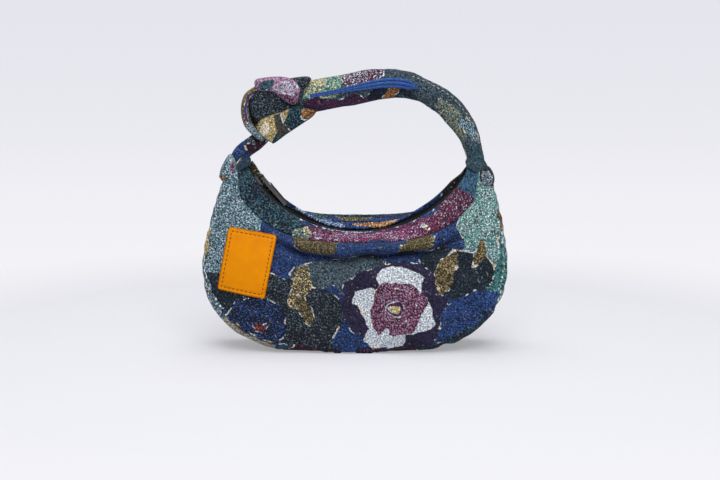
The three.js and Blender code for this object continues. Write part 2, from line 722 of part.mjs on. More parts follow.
// The strap leans in as it rises, rounds its shoulder to the apex and comes down to the knot
function makeStrapRun() {
  const start = RIGHT_PIVOT;
  const end = KNOT_ENTRY.clone().addScaledVector(OUT_OF_KNOT, FIT);
  const shoulder = spread(0, Math.PI / 2, 4).map((turn) => new THREE.Vector3(
    start.x - STRAP_LEAN * Math.sin(turn) - (STRAP_SHOULDER - STRAP_LEAN) * (1 - Math.cos(turn)),
    0,
    lerp(start.z, STRAP_APEX, Math.sin(turn))));
  const points = [...shoulder, end.clone().addScaledVector(OUT_OF_KNOT, STRAP_ENTRY_RUN), end];
  const swell = (share) => smooth(share / STRAP_SWELL);
  const width = (share) => lerp(STRAP_END_WIDTH, STRAP_WIDTH, swell(share));
  const thickness = (share) => lerp(2 * STRAP_END_RADIUS, STRAP_THICKNESS, swell(share));
  const rings = sweep(points, OUT_OF_KNOT.clone().negate(), width, thickness, STRAP_STATIONS);
  return loft([...roundEnd(start), ...rings]);
}

const STUB_TOP = new THREE.Vector3(KNOT_X - STUB_LEFT, 0, KNOT_Z - STUB_DROP);
const INTO_KNOT = new THREE.Vector3(Math.cos(STUB_ANGLE), 0, Math.sin(STUB_ANGLE));

function makeStub() {
  const end = STUB_TOP.clone().addScaledVector(INTO_KNOT, -FIT);
  const middle = LEFT_PIVOT.clone().lerp(end, 0.5).addScaledVector(PIVOT_UP, STUB_BOW);
  const rings = sweep(
    [LEFT_PIVOT, middle, end], INTO_KNOT, () => STRAP_END_WIDTH, () => 2 * STRAP_END_RADIUS, STUB_STATIONS);
  return loft([...roundEnd(LEFT_PIVOT), ...rings]);
}

// The knot: a puffed bundle, a sleeve where the strap enters it and a band round its left side

function puffedBundle() {
  const outlinePoints = Object.values(KNOT_OUTLINE).map(
    ([x, z]) => new THREE.Vector3(KNOT_X + x * KNOT_HALF_WIDTH, 0, KNOT_Z + z * KNOT_HALF_HEIGHT));
  const curve = new THREE.CatmullRomCurve3(outlinePoints, true);
  const middle = new THREE.Vector3(KNOT_X, 0, KNOT_Z);
  const around = spread(0, 1 - 1 / KNOT_SIDES, KNOT_SIDES - 1).map((share) => curve.getPointAt(share));
  return loft(spread(-1, 1, KNOT_LAYERS).map((share) => {
    const scale = Math.sqrt(1 - KNOT_PUFF * share ** 2);
    return around.map((p) => middle.clone().lerp(p, scale).setY(share * KNOT_HALF_DEPTH));
  }));
}

function entrySleeve() {
  const across = DEPTH.clone().cross(OUT_OF_KNOT);
  return loft(spread(0, 1, SLEEVE_STATIONS).map((share) => {
    const size = 1 - SLEEVE_TAPER * share ** 2;
    const centre = KNOT_ENTRY.clone().addScaledVector(OUT_OF_KNOT, -share * SLEEVE_LENGTH);
    return flatRing(centre, across, size * (STRAP_WIDTH / 2 + SLEEVE_MARGIN), size * SLEEVE_HALF_DEPTH);
  }));
}

function leftBand() {
  const radiusX = KNOT_HALF_WIDTH - KNOT_BAND / 2;
  const radiusZ = KNOT_HALF_HEIGHT - KNOT_BAND / 2;
  return loft(spread(0, 1, BAND_STATIONS).map((share) => {
    const turn = lerp(KNOT_BAND_START, KNOT_BAND_END, share);
    const out = new THREE.Vector3(Math.cos(turn), 0, Math.sin(turn));
    const tuck = KNOT_BAND * (2 * share - 1) ** 6;
    const centre = new THREE.Vector3(
      KNOT_X + (radiusX - tuck) * out.x, -KNOT_BAND_FORWARD, KNOT_Z + (radiusZ - tuck) * out.z);
    return flatRing(centre, out, KNOT_BAND / 2, KNOT_BAND_HALF_DEPTH, BAND_SIDES);
  }));
}

function stubNeck() {
  const across = DEPTH.clone().cross(INTO_KNOT);
  return loft([0, NECK_LENGTH].map((along) => flatRing(
    STUB_TOP.clone().addScaledVector(INTO_KNOT, along), across, STRAP_END_WIDTH / 2, STRAP_END_RADIUS)));
}

function makeHandle() {
  addPiece("left_strap_root", makeRoot(LEFT_TIP, LEFT_PIVOT), TAPESTRY_TEAL);
  addPiece("right_strap_root", makeRoot(RIGHT_TIP, RIGHT_PIVOT), TAPESTRY_TEAL);
  addPiece("strap_run", makeStrapRun(), TAPESTRY_PLUM);
  addPiece("strap_stub", makeStub(), TAPESTRY_BLUE);
  addPiece("strap_knot", joined([puffedBundle(), entrySleeve(), leftBand(), stubNeck()]), TAPESTRY_TEAL);
}

// Leather patch, which follows the bulge of the front panel

function frontPanelDepth(x, z) {
  const angle = Math.atan2(x - ZIP_X, ZIP_Z - z);
  const { seam, hem } = corners(angle, FRONT, 0);
  const share = (Math.hypot(x - ZIP_X, ZIP_Z - z) - seam.x) / (hem.x - seam.x);
  return panelDepth(angle, seam, hem, share);
}

function patchColumn({ across, half }) {
  const spots = spread(-half, half, PATCH_ROWS).map((up) => new THREE.Vector2(
    PATCH_X + across * Math.cos(PATCH_TURN) - up * Math.sin(PATCH_TURN),
    PATCH_Z + across * Math.sin(PATCH_TURN) + up * Math.cos(PATCH_TURN)));
  const face = (lift) => spots.map(
    (p) => new THREE.Vector3(p.x, -frontPanelDepth(p.x, p.y) - lift, p.y));
  return [...face(FIT + PATCH_THICKNESS), ...face(FIT).reverse()];
}

function makePatch() {
  const flat = PATCH_WIDTH / 2 - PATCH_CORNER;
  const tall = PATCH_HEIGHT / 2 - PATCH_CORNER;
  const right = spread(0, PATCH_CORNER_TURN, CURVE_FACETS / 2).map((turn) => ({
    across: flat + PATCH_CORNER * Math.sin(turn),
    half: tall + PATCH_CORNER * Math.cos(turn),
  }));
  const left = right.map(({ across, half }) => ({ across: -across, half })).reverse();
  const middle = spread(-flat, flat, PATCH_COLUMNS).slice(1, -1).map((across) => ({
    across, half: PATCH_HEIGHT / 2,
  }));
  addPiece("leather_patch", loft([...left, ...middle, ...right].map(patchColumn)), ORANGE_LEATHER);
}

makeBody();
makeLining();
makeTapes();
makeChain();
makeStops();
makeSlider();
makeHandle();
makePatch();

export default bag;
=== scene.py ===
from math import atan2, copysign, cos, exp, hypot, pi, radians, sin, sqrt

import bmesh
import bpy
import numpy as np
from mathutils import Matrix, Vector, noise
from mathutils.bvhtree import BVHTree


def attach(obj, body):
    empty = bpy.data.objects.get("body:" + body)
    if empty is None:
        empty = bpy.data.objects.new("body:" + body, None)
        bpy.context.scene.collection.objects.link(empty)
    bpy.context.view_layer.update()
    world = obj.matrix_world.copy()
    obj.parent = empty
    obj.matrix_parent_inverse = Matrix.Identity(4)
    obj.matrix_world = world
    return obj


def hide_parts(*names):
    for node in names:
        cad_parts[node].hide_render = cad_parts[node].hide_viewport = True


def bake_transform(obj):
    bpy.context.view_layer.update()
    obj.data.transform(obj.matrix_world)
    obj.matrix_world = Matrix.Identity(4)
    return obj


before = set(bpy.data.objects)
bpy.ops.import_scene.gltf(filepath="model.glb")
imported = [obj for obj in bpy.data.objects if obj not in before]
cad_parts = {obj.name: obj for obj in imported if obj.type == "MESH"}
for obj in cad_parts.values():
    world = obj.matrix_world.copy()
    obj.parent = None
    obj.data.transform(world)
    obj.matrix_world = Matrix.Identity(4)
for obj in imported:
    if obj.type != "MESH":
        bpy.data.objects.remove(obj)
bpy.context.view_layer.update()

# Lengths below are in millimetres, and meshes are made in metres
MM = 0.001

# Body form: sections in planes through the zip arc's axis, as in the part's source
CLOTH = 2.2
FIT = 0.3
TAPE = 0.7
ZIP_X = 3
ZIP_Z = 200
ZIP_RADIUS = 104
LEFT_HORN = radians(-63)
RIGHT_HORN = radians(62)
BODY_WIDTH = 250
BELLY_HEIGHT = 68
BASE_LENGTH = 90
HORN_SIZE = 20
SIDE_FULLNESS = 0.35
BASE_HALF_DEPTH = 33
HORN_HALF_DEPTH = 11
MOUTH_HALF_DEPTH = 22
PANEL_BULGE = 8
GUSSET_CROWN = 5
HORN_CROWN = 2
CROWN_FULLNESS = 1.4
SIDE_SEAM_DROP = 17
SEAM_LIMIT = 0.35
ZIP_GAP_HALF = 6
TAPE_SEAM = 3.5
ROOT_ANGLE = 6 / ZIP_RADIUS
ZIP_END_LEFT = LEFT_HORN + ROOT_ANGLE
ZIP_END_RIGHT = RIGHT_HORN - ROOT_ANGLE
SLIDER_ANGLE = radians(-54)
SLIDER_HALF_ANGLE = 6 / ZIP_RADIUS
CHAIN_PARTING = 2.1
BEAD_OUTER = 1.8

FRONT = {"sign": -1, "drop": 5, "rise": 0.7, "gathers": 1.0}
BACK = {"sign": 1, "drop": -12, "rise": 1.25, "gathers": 0.2}

# Strap and knot, in the plane y = 0
LEFT_PIVOT = Vector((-93.7, 0, 160.7))
RIGHT_PIVOT = Vector((99.0, 0, 159.1))
STRAP_APEX = 219
STRAP_SHOULDER = 70
STRAP_LEAN = 10
STRAP_ENTRY = radians(10)
KNOT_ENTRY = Vector((-32, 0, 209))

# Towards the back
DEPTH = Vector((0, 1, 0))

# Leather patch
PATCH_SIZE = (40, 52)
PATCH_PLACE = (-88, 75)
PATCH_TURN = radians(-11)


def lerp(a, b, share):
    return a + (b - a) * share


def smooth(share):
    t = min(1.0, max(0.0, share))
    return t * t * (3 - 2 * t)


def hump(x, middle, reach):
    """1 at the middle, falling to nothing about two reaches away."""
    return exp(-((x - middle) / reach) ** 2)


# Surfaces of the body, as places for an angle round the zip arc's axis

CURVE_STEPS = 200


def on_body(angle, radius, depth):
    return Vector((ZIP_X + radius * sin(angle), depth, ZIP_Z - radius * cos(angle)))


def bezier(*points):
    t = np.linspace(0, 1, CURVE_STEPS)[:, None]
    a, b, c, d = (np.array(p, float) for p in points)
    return (1 - t) ** 3 * a + 3 * (1 - t) ** 2 * t * b + 3 * (1 - t) * t * t * c + t ** 3 * d


def outline_curve():
    """Angle and radius of points along the body's outline, seen from the front."""
    half = BODY_WIDTH / 2
    corner = half - BASE_LENGTH / 2
    tips = [on_body(a, ZIP_RADIUS + HORN_SIZE, 0) for a in (LEFT_HORN, RIGHT_HORN)]
    sides = []
    for tip, sign in zip(tips, (-1, 1)):
        shoulder = lerp(tip.z, BELLY_HEIGHT, SIDE_FULLNESS)
        swell = lerp(BELLY_HEIGHT, tip.z, SIDE_FULLNESS)
        sides.append(bezier(
            (tip.x, tip.z), ((tip.x + sign * half) / 2, shoulder),
            (sign * half, swell), (sign * half, BELLY_HEIGHT)))
    turn = np.linspace(0, pi / 2, CURVE_STEPS)
    right_corner = np.stack(
        [BASE_LENGTH / 2 + corner * np.sin(turn), BELLY_HEIGHT * (1 - np.cos(turn))], axis=1)
    left_corner = right_corner[::-1] * np.array([-1, 1])
    points = np.concatenate([sides[0], left_corner, right_corner, sides[1][::-1]])
    angles = np.arctan2(points[:, 0] - ZIP_X, ZIP_Z - points[:, 1])
    radii = np.hypot(points[:, 0] - ZIP_X, ZIP_Z - points[:, 1])
    order = np.argsort(angles)
    return angles[order], radii[order]


OUTLINE_ANGLES, OUTLINE_RADII = outline_curve()


def outer_radius(angle):
    return float(np.interp(angle, OUTLINE_ANGLES, OUTLINE_RADII))


def horn_share(angle):
    return min(1.0, angle / LEFT_HORN if angle < 0 else angle / RIGHT_HORN)


def facing_edge(angle):
    past = max(ZIP_END_LEFT - angle, angle - ZIP_END_RIGHT, 0)
    return lerp(ZIP_GAP_HALF, FIT / 2, smooth(past / ROOT_ANGLE))


# Share of an inset by which the seam between facing and panel moves out
SEAM_INSET = 0.6


def section(angle, side, inset=0.0):
    """Edge, seam and hem of one side, as (radius, depth), at a distance inside the cloth, and
    the height of the gusset's crown."""
    share = horn_share(angle)
    outer = outer_radius(angle)
    drop = lerp(side["drop"], SIDE_SEAM_DROP, smooth(share / side["rise"]))
    drop = min(drop, SEAM_LIMIT * (outer - ZIP_RADIUS))
    crown = lerp(GUSSET_CROWN, HORN_CROWN, share ** 4)
    seam_depth = lerp(MOUTH_HALF_DEPTH, HORN_HALF_DEPTH, share ** 2)
    hem_depth = lerp(BASE_HALF_DEPTH, HORN_HALF_DEPTH, share ** 3)
    edge = (ZIP_RADIUS - FIT - CLOTH + inset, facing_edge(angle))
    seam = (ZIP_RADIUS + drop + inset * SEAM_INSET, seam_depth - inset)
    hem = (outer - crown - inset, hem_depth - inset)
    return edge, seam, hem, crown


def wrinkle(x, z, seed, size):
    return noise.noise(Vector((x / size, z / size, seed)))


# Gathered folds below the mouth: height, and share of the panel that they fade over
SHORT_FOLD, SHORT_FADE = 1.5, 0.13
LONG_FOLD, LONG_FADE = 0.9, 0.4
# Place along the mouth where they are highest, and how far they reach
FOLD_MIDDLE, FOLD_REACH = 18, 60


def mouth_gathers(angle, down, seed):
    """Folds that the seam draws in, fading down the panel."""
    along = ZIP_RADIUS * angle
    middle = 0.35 + 0.65 * hump(along, FOLD_MIDDLE, FOLD_REACH)
    fold = 0.55 * cos(along * 0.37 + seed) + 0.45 * cos(along * 0.58 + 2.1 * seed)
    fold += 0.5 * cos(along * 0.23 + 0.7 * seed + 0.6 * sin(along * 0.06))
    short = SHORT_FOLD * middle * fold * exp(-down / SHORT_FADE)
    long = LONG_FOLD * middle * cos(along * 0.19 + seed) * exp(-down / LONG_FADE)
    return short + long


# Folds below a horn: height, how many, and where they are highest
HORN_FOLD = 1.3
HORN_FOLDS = 11
HORN_FOLD_AT, HORN_FOLD_REACH = 38, 22


def horn_folds(point, horn):
    """Soft folds that fan out below a horn, where the strap pulls."""
    away = point - horn
    reach = hypot(away.x, away.z)
    fan = atan2(away.x, -away.z)
    wave = cos(HORN_FOLDS * fan + 0.05 * reach)
    return HORN_FOLD * wave * hump(reach, HORN_FOLD_AT, HORN_FOLD_REACH)


# Distance below the mouth's seam, and how far the gathered cloth stands out there
GATHER_PLACES = (0, 2, 5, 8, 10, 11.5, 13, 14.5, 18, 24, 32, 45)
GATHER_LIFTS = (0, 3.8, 7.0, 5.6, 1.2, -5.2, -7.6, -5.8, -0.5, 2.8, 2.2, 0)
# Along the mouth: a level, humps (height, middle, reach), and a wave (height, rate, seed's share)
ROLL_PUFF = (0.8, ((0.3, -26, 18), (0.35, 46, 16)), (0.15, 0.3, 1))
CREASE_TUCK = (0.78, ((0.35, 24, 30), (0.25, -52, 16)), (0.12, 0.21, 2))
ROLL_MIDDLE, ROLL_REACH = 8, 80


def uneven(x, seed, level, humps, wave):
    for high, middle, reach in humps:
        level += high * hump(x, middle, reach)
    high, rate, shift = wave
    return level + high * cos(x * rate + shift * seed)


def gather_lift(x, below, seed):
    """A padded roll under the mouth's seam, a crease below it, then the belly."""
    reach = 1 / (1 + ((x - ROLL_MIDDLE) / ROLL_REACH) ** 6)
    wide = 1 + 0.14 * cos(x * 0.07 + 1) + 0.06 * cos(x * 0.19 + seed)
    lift = float(np.interp(below / wide, GATHER_PLACES, GATHER_LIFTS))
    return reach * lift * uneven(x, seed, *(ROLL_PUFF if lift > 0 else CREASE_TUCK))


CREASE_WIDTH = 2.5


def front_creases(point):
    """For each crease of the front: distance from it, its depth, and how much of it is here."""
    slanting = point.z - 79 - 0.6 * (point.x - 40)
    upright = point.x - 70 + 0.3 * (point.z - 85)
    return (slanting, 2.0, hump(point.x, 46, 14)), (upright, 3.4, hump(point.z, 92, 16))


# Wrinkles of a panel: height, size and shift of the seed
PANEL_WRINKLES = ((2.0, 40, 0), (0.9, 17, 5))
PANEL_CALM = 0.05
GATHER_START = 0.03
# The patch keeps the cloth flat round it
PATCH_CALM, PATCH_CALM_X, PATCH_CALM_Z = 0.9, 26, 32
# Rolled edges at the mouth and the hem: how far they turn in, and over which share
MOUTH_ROLL, MOUTH_ROLL_FADE = 2.6, 0.02
HEM_ROLL, HEM_ROLL_FADE = 1.2, 0.012
FRONT_SEED = 1.7
BACK_SEED = 4.1


def panel_point(angle, down, side, inset=0.0, relief=1.0, seed=FRONT_SEED):
    """Down runs from 0 at the mouth's seam to 1 at the hem."""
    _, seam, hem, _ = section(angle, side, inset)
    bulge = PANEL_BULGE * (1 - horn_share(angle) ** 4) * sin(pi * down)
    depth = lerp(seam[1], hem[1], down) + bulge
    point = on_body(angle, lerp(seam[0], hem[0], down), 0)
    calm = smooth(down / PANEL_CALM) * smooth((1 - down) / PANEL_CALM)
    near_patch = hump(point.z, PATCH_PLACE[1], PATCH_CALM_Z)
    flat = 1 - PATCH_CALM * hump(point.x, PATCH_PLACE[0], PATCH_CALM_X) * near_patch
    lift = mouth_gathers(angle, down, seed) * smooth(down / GATHER_START) * side["gathers"]
    lift += gather_lift(point.x, down * (hem[0] - seam[0]), seed)
    for high, size, shift in PANEL_WRINKLES:
        lift += high * wrinkle(point.x, point.z, seed + shift, size) * calm
    lift += horn_folds(point, LEFT_PIVOT) * calm + horn_folds(point, RIGHT_PIVOT) * calm
    if side is FRONT:
        for away, deep, share in front_creases(point):
            lift -= deep * exp(-abs(away) / CREASE_WIDTH) * share * calm
    lift *= flat
    roll = MOUTH_ROLL * exp(-down / MOUTH_ROLL_FADE)
    roll += HEM_ROLL * exp(-(1 - down) / HEM_ROLL_FADE)
    point.y = side["sign"] * (depth + relief * lift - roll)
    return point


# Relief of the gusset, and the angle past which its base stops being flat
PUCKER, PUCKER_RATE = 0.9, 150
GUSSET_WAVE, GUSSET_WAVE_SIZE, GUSSET_SEED = 1.2, 24, 3.3
BASE_ANGLE = 0.3
GUSSET_ROLL, GUSSET_ROLL_FADE = 1.1, 0.03
# A dent at the right of the base: it is seen below this height
DENT_TOP = 40


def gusset_point(angle, across, inset=0.0, relief=1.0):
    """Across runs from -1 at the front hem to 1 at the back hem."""
    _, _, hem, crown = section(angle, FRONT, inset)
    radius = hem[0] + CROWN_FULLNESS * crown * (1 - across ** 4)
    radius = min(radius, outer_radius(angle) - inset)
    share = horn_share(angle)
    puckers = PUCKER * share ** 3 * cos(angle * PUCKER_RATE) * (1 - across ** 2)
    free = smooth((abs(angle) - BASE_ANGLE) / BASE_ANGLE)
    point = on_body(angle, radius, across * hem[1])
    waves = wrinkle(point.x + point.z, point.y, GUSSET_SEED, GUSSET_WAVE_SIZE)
    waves *= GUSSET_WAVE * free
    roll = GUSSET_ROLL * exp(-(1 - abs(across)) / GUSSET_ROLL_FADE)
    dent = 0.0
    if point.z < DENT_TOP:
        dent = 1.8 * hump(point.x, 74, 4) - 0.8 * hump(point.x, 83, 5)
    lift = relief * (puckers + min(0.0, waves) - roll - dent)
    return on_body(angle, radius + lift, across * hem[1])


FRONT_DIP = 2.3
BACK_RISE = 3.2


def edge_rise(angle, side):
    """How far the edge beside the zip stands above it. The front's lies lower all along. The
    back's stands up beside the horns, but lies down at the right end, where the pull rests when
    the bag is open."""
    if side is FRONT:
        return -FRONT_DIP
    beside_horn = smooth((horn_share(angle) - 0.2) / 0.3)
    return BACK_RISE * beside_horn * smooth((ZIP_END_RIGHT - angle) / 0.16)


# The facing's plumpness, its two sewn rows and its puckered seam
FACING_PLUMP = 0.9
FACING_WRINKLE = 0.35
FACING_ROWS = {"upper": 0.3, "lower": 0.8}
ROW_DENT, ROW_WIDTH = 0.55, 0.035
SEAM_PUCKER, SEAM_PUCKER_RATE = 0.3, 95


def facing_point(angle, across, side):
    """Across runs from 0 at the zip to 1 at the seam."""
    edge, seam, _, _ = section(angle, side)
    flat = smooth(across / 0.2)
    plump = FACING_PLUMP * sin(pi * across)
    plump += FACING_WRINKLE * wrinkle(angle * 60, across * 3, 8.1, 5)
    for row in FACING_ROWS.values():
        plump -= ROW_DENT * hump(across, row, ROW_WIDTH)
    pucker = cos(angle * SEAM_PUCKER_RATE + 4 * across)
    plump += SEAM_PUCKER * pucker * across * side["gathers"]
    radius = lerp(edge[0], seam[0], across) - plump * smooth(across / 0.1)
    radius -= edge_rise(angle, side) * (1 - flat)
    return on_body(angle, radius, side["sign"] * lerp(edge[1], seam[1], across))


def parting(angle):
    along = (SLIDER_ANGLE - angle) / SLIDER_HALF_ANGLE
    return CHAIN_PARTING * smooth((along + 0.5) / 0.8)


# Shares across the tape where it turns up at the facing's edge, and then under the facing
TAPE_TURN = 0.5
TAPE_TUCK = 0.75
TAPE_RIB, TAPE_RIB_RATE = 0.08, 700


def tape_point(angle, across, side):
    """Across runs from 0 beside the teeth to 1 under the facing."""
    edge, seam, _, _ = section(angle, side, CLOTH)
    inner = BEAD_OUTER + FIT + parting(angle)
    flat = facing_edge(angle)
    run = Vector((seam[0] - edge[0], seam[1] - edge[1])).normalized()
    sewn = Vector(edge) + run * TAPE_SEAM + Vector((run.y, -run.x)) * FIT
    rise = max(0.0, edge_rise(angle, side))
    if across < TAPE_TURN:
        radius, depth = ZIP_RADIUS, lerp(inner, flat, across / TAPE_TURN)
    elif across < TAPE_TUCK:
        share = (across - TAPE_TURN) / (TAPE_TUCK - TAPE_TURN)
        radius, depth = ZIP_RADIUS - rise * share, flat + FIT * share
    else:
        share = (across - TAPE_TUCK) / (1 - TAPE_TUCK)
        radius = lerp(ZIP_RADIUS - rise, sewn.x, share)
        depth = lerp(flat + FIT, sewn.y, share)
    ribs = TAPE_RIB * cos(angle * TAPE_RIB_RATE)
    return on_body(angle, radius - ribs, side["sign"] * depth)


# Meshes


def finish_mesh(name, bm, material, body, nodes, smooth_faces=True):
    mesh = bpy.data.meshes.new(name)
    bm.to_mesh(mesh)
    bm.free()
    for face in mesh.polygons:
        face.use_smooth = smooth_faces
    mesh.materials.append(material)
    obj = bpy.data.objects.new(name, mesh)
    bpy.context.collection.objects.link(obj)
    if body:
        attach(obj, body)
    if nodes:
        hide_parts(*nodes)
    return obj


BODY_MIDDLE = Vector((0, 0, 80)) * MM


def face_outwards(bm):
    """Turns an open sheet so that its faces look away from the middle of the bag."""
    away = sum(f.normal.dot(f.calc_center_median() - BODY_MIDDLE) * f.calc_area() for f in bm.faces)
    if away < 0:
        bmesh.ops.reverse_faces(bm, faces=bm.faces[:])


def grid_sheet(columns, rows, place, cloth):
    """A grid moved to a surface. Its UV map holds metres along the cloth."""
    bm = bmesh.new()
    uv = bm.loops.layers.uv.new("cloth")
    bmesh.ops.create_grid(bm, x_segments=columns, y_segments=rows, size=0.5)
    for face in bm.faces:
        for loop in face.loops:
            s, t = cloth(loop.vert.co.x + 0.5, loop.vert.co.y + 0.5)
            loop[uv].uv = (s * MM, t * MM)
    for vert in bm.verts:
        vert.co = place(vert.co.x + 0.5, vert.co.y + 0.5) * MM
    bm.normal_update()
    return bm


def weld(bm):
    bmesh.ops.remove_doubles(bm, verts=bm.verts[:], dist=1e-6)


def add_thickness(obj, thickness):
    wall = obj.modifiers.new("thickness", "SOLIDIFY")
    wall.thickness = thickness * MM
    wall.offset = -1


# Cloth simulation
FLOOR_CLEARANCE = 1.4
FARTHEST_MOVE = 6.0
CALM_HOLD = 0.85
SETTLE_FRAMES = 24
CLOTH_SETTINGS = {
    "quality": 8, "mass": 0.1, "air_damping": 4,
    "tension_stiffness": 15, "tension_damping": 10,
    "compression_stiffness": 15, "compression_damping": 10,
    "shear_stiffness": 5, "shear_damping": 10,
    "bending_stiffness": 0.5, "bending_damping": 2,
}


def settle(obj, grow, calm):
    """Simulates cloth that is a little larger than its place, so that it buckles and swells
    between its held edges. The vertices in calm move less."""
    start = np.array([v.co[:] for v in obj.data.vertices])
    group = obj.vertex_groups.new(name="held")
    group.add(calm, CALM_HOLD, "REPLACE")
    edges = bmesh.new()
    edges.from_mesh(obj.data)
    group.add([v.index for v in edges.verts if v.is_boundary], 1.0, "REPLACE")
    edges.free()
    cloth = obj.modifiers.new("cloth", "CLOTH")
    settings = cloth.settings
    settings.vertex_group_mass = group.name
    settings.shrink_min = -grow
    settings.shrink_max = -grow
    settings.effector_weights.gravity = 0
    for key, value in CLOTH_SETTINGS.items():
        setattr(settings, key, value)
    cloth.collision_settings.use_collision = False
    cloth.point_cache.frame_start = 1
    cloth.point_cache.frame_end = SETTLE_FRAMES
    scene = bpy.context.scene
    for number in range(1, SETTLE_FRAMES + 1):
        scene.frame_set(number)
    found = obj.evaluated_get(bpy.context.evaluated_depsgraph_get()).data
    move = np.array([v.co[:] for v in found.vertices]) - start
    obj.modifiers.remove(cloth)
    obj.vertex_groups.remove(group)
    scene.frame_set(1)
    size = np.linalg.norm(move, axis=1, keepdims=True)
    move *= np.minimum(1, FARTHEST_MOVE * MM / np.maximum(size, 1e-9))
    settled = start + move
    settled[:, 2] = np.maximum(settled[:, 2], FLOOR_CLEARANCE * MM)
    obj.data.vertices.foreach_set("co", settled.ravel())
    obj.data.update()


def body_sheet(name, size, place, cloth, material, nodes, thickness, grow=0.0, held=None):
    """A sheet of the bag with its thickness. With a growth it is simulated as cloth, and is
    calmer where it is held."""
    bm = grid_sheet(*size, place, cloth)
    face_outwards(bm)
    obj = finish_mesh(name, bm, material, "bag", nodes)
    if grow:
        settle(obj, grow, [v.index for v in obj.data.vertices if held(v.co / MM)])
        rounder = obj.modifiers.new("rounder", "SUBSURF")
        rounder.levels = 1
        rounder.render_levels = 1
    add_thickness(obj, thickness)
    return obj


def pick(values, share):
    """A value read evenly from a list by a share from 0 to 1, in between two of them."""
    place = min(max(share, 0.0), 1.0) * (len(values) - 1)
    low = min(int(place), len(values) - 2)
    return values[low] + (values[low + 1] - values[low]) * (place - low)


SPAN_STEPS = 24


class Path:
    """Even steps along a smooth curve through points in the plane of the strap."""

    def __init__(self, points, count):
        knots = [Vector(p) for p in points]
        knots = [2 * knots[0] - knots[1]] + knots + [2 * knots[-1] - knots[-2]]
        dense = []
        for a, b, c, d in zip(knots, knots[1:], knots[2:], knots[3:]):
            for t in (k / SPAN_STEPS for k in range(SPAN_STEPS)):
                dense.append(0.5 * (
                    2 * b + (c - a) * t + (2 * a - 5 * b + 4 * c - d) * t * t
                    + (3 * b - a - 3 * c + d) * t ** 3))
        dense.append(knots[-2])
        steps = [0.0]
        for a, b in zip(dense, dense[1:]):
            steps.append(steps[-1] + (b - a).length)
        at = np.linspace(0, steps[-1], count)
        axes = [np.interp(at, steps, [p[i] for p in dense]) for i in range(3)]
        self.spots = [Vector(p) for p in zip(*axes)]
        self.length = steps[-1]
        self.sides = []
        for before, after in zip(self.spots[:1] + self.spots, self.spots[1:] + self.spots[-1:]):
            self.sides.append(DEPTH.cross((after - before).normalized()).normalized())

    def at(self, share):
        """The place at a share of the length, and the direction to the path's side there."""
        return pick(self.spots, share), self.sides[round(share * (len(self.sides) - 1))]


def tube(columns, sides, point, length, girth):
    """A closed tube: point(share along it, turn round it)."""
    bm = grid_sheet(
        columns, sides, lambda u, v: point(u, 2 * pi * v),
        lambda u, v: (u * length, v * girth))
    weld(bm)
    bmesh.ops.holes_fill(bm, edges=[e for e in bm.edges if e.is_boundary], sides=0)
    bmesh.ops.recalc_face_normals(bm, faces=bm.faces[:])
    return bm


def signed_power(x, power):
    """A power that keeps the sign: below 1 it makes a round section boxier."""
    return copysign(abs(x) ** power, x)


# Shader nodes


def colour(code):
    """A linear colour from six hex digits."""
    parts = [int(code[i:i + 2], 16) / 255 for i in (0, 2, 4)]
    line = [p / 12.92 if p <= 0.04045 else ((p + 0.055) / 1.055) ** 2.4 for p in parts]
    return (*line, 1.0)


def fill(tree, node, inputs):
    """Sets inputs of a node, each to a value or to the output of another node."""
    for key, value in inputs.items():
        if isinstance(value, bpy.types.NodeSocket):
            tree.links.new(value, node.inputs[key])
        else:
            node.inputs[key].default_value = value


def put(tree, kind, inputs=None, **settings):
    node = tree.nodes.new("ShaderNode" + kind)
    for key, value in settings.items():
        setattr(node, key, value)
    fill(tree, node, inputs or {})
    return node


def use_group(tree, group, inputs):
    return put(tree, "Group", inputs, node_tree=group).outputs


def calc(tree, operation, a, b=0.0, c=0.0, clamp=False):
    return put(tree, "Math", {0: a, 1: b, 2: c}, operation=operation, use_clamp=clamp).outputs[0]


def times(tree, a, b):
    return calc(tree, "MULTIPLY", a, b)


def vector(tree, operation, a, b=(0, 0, 0)):
    return put(tree, "VectorMath", {0: a, 1: b}, operation=operation).outputs[0]


def scaled(tree, a, factor):
    return put(tree, "VectorMath", {0: a, 3: factor}, operation="SCALE").outputs[0]


def split(tree, a):
    return put(tree, "SeparateXYZ", {0: a}).outputs


def mix(tree, factor, a, b, blend_type="MIX"):
    inputs = {0: factor, 6: a, 7: b}
    return put(tree, "Mix", inputs, data_type="RGBA", blend_type=blend_type).outputs[2]


def mix_value(tree, factor, a, b):
    return put(tree, "Mix", {0: factor, 2: a, 3: b}, data_type="FLOAT").outputs[0]


def step_up(tree, value, low, high):
    inputs = {0: value, 1: low, 2: high}
    return put(tree, "MapRange", inputs, interpolation_type="SMOOTHSTEP").outputs[0]


def remap(tree, value, low, high, to_low, to_high):
    inputs = {0: value, 1: low, 2: high, 3: to_low, 4: to_high}
    return put(tree, "MapRange", inputs).outputs[0]


def noise_node(tree, place, scale, detail, dimensions="2D"):
    inputs = {"Vector": place, "Scale": scale, "Detail": detail}
    return put(tree, "TexNoise", inputs, noise_dimensions=dimensions)


def noise_value(tree, place, scale, detail=1.0, dimensions="2D"):
    return noise_node(tree, place, scale, detail, dimensions).outputs[0]


def cells(tree, place, scale):
    inputs = {"Vector": place, "Scale": scale}
    return put(tree, "TexVoronoi", inputs, voronoi_dimensions="2D").outputs


def turned_place(tree, place, angle):
    inputs = {"Vector": place, "Angle": angle}
    return put(tree, "VectorRotate", inputs, rotation_type="Z_AXIS").outputs[0]


def cloth_place(tree):
    """Millimetres along the cloth."""
    return scaled(tree, put(tree, "UVMap", uv_map="cloth").outputs[0], 1 / MM)


def object_place(tree):
    """Millimetres in the piece's own frame."""
    return scaled(tree, put(tree, "TexCoord").outputs["Object"], 1 / MM)


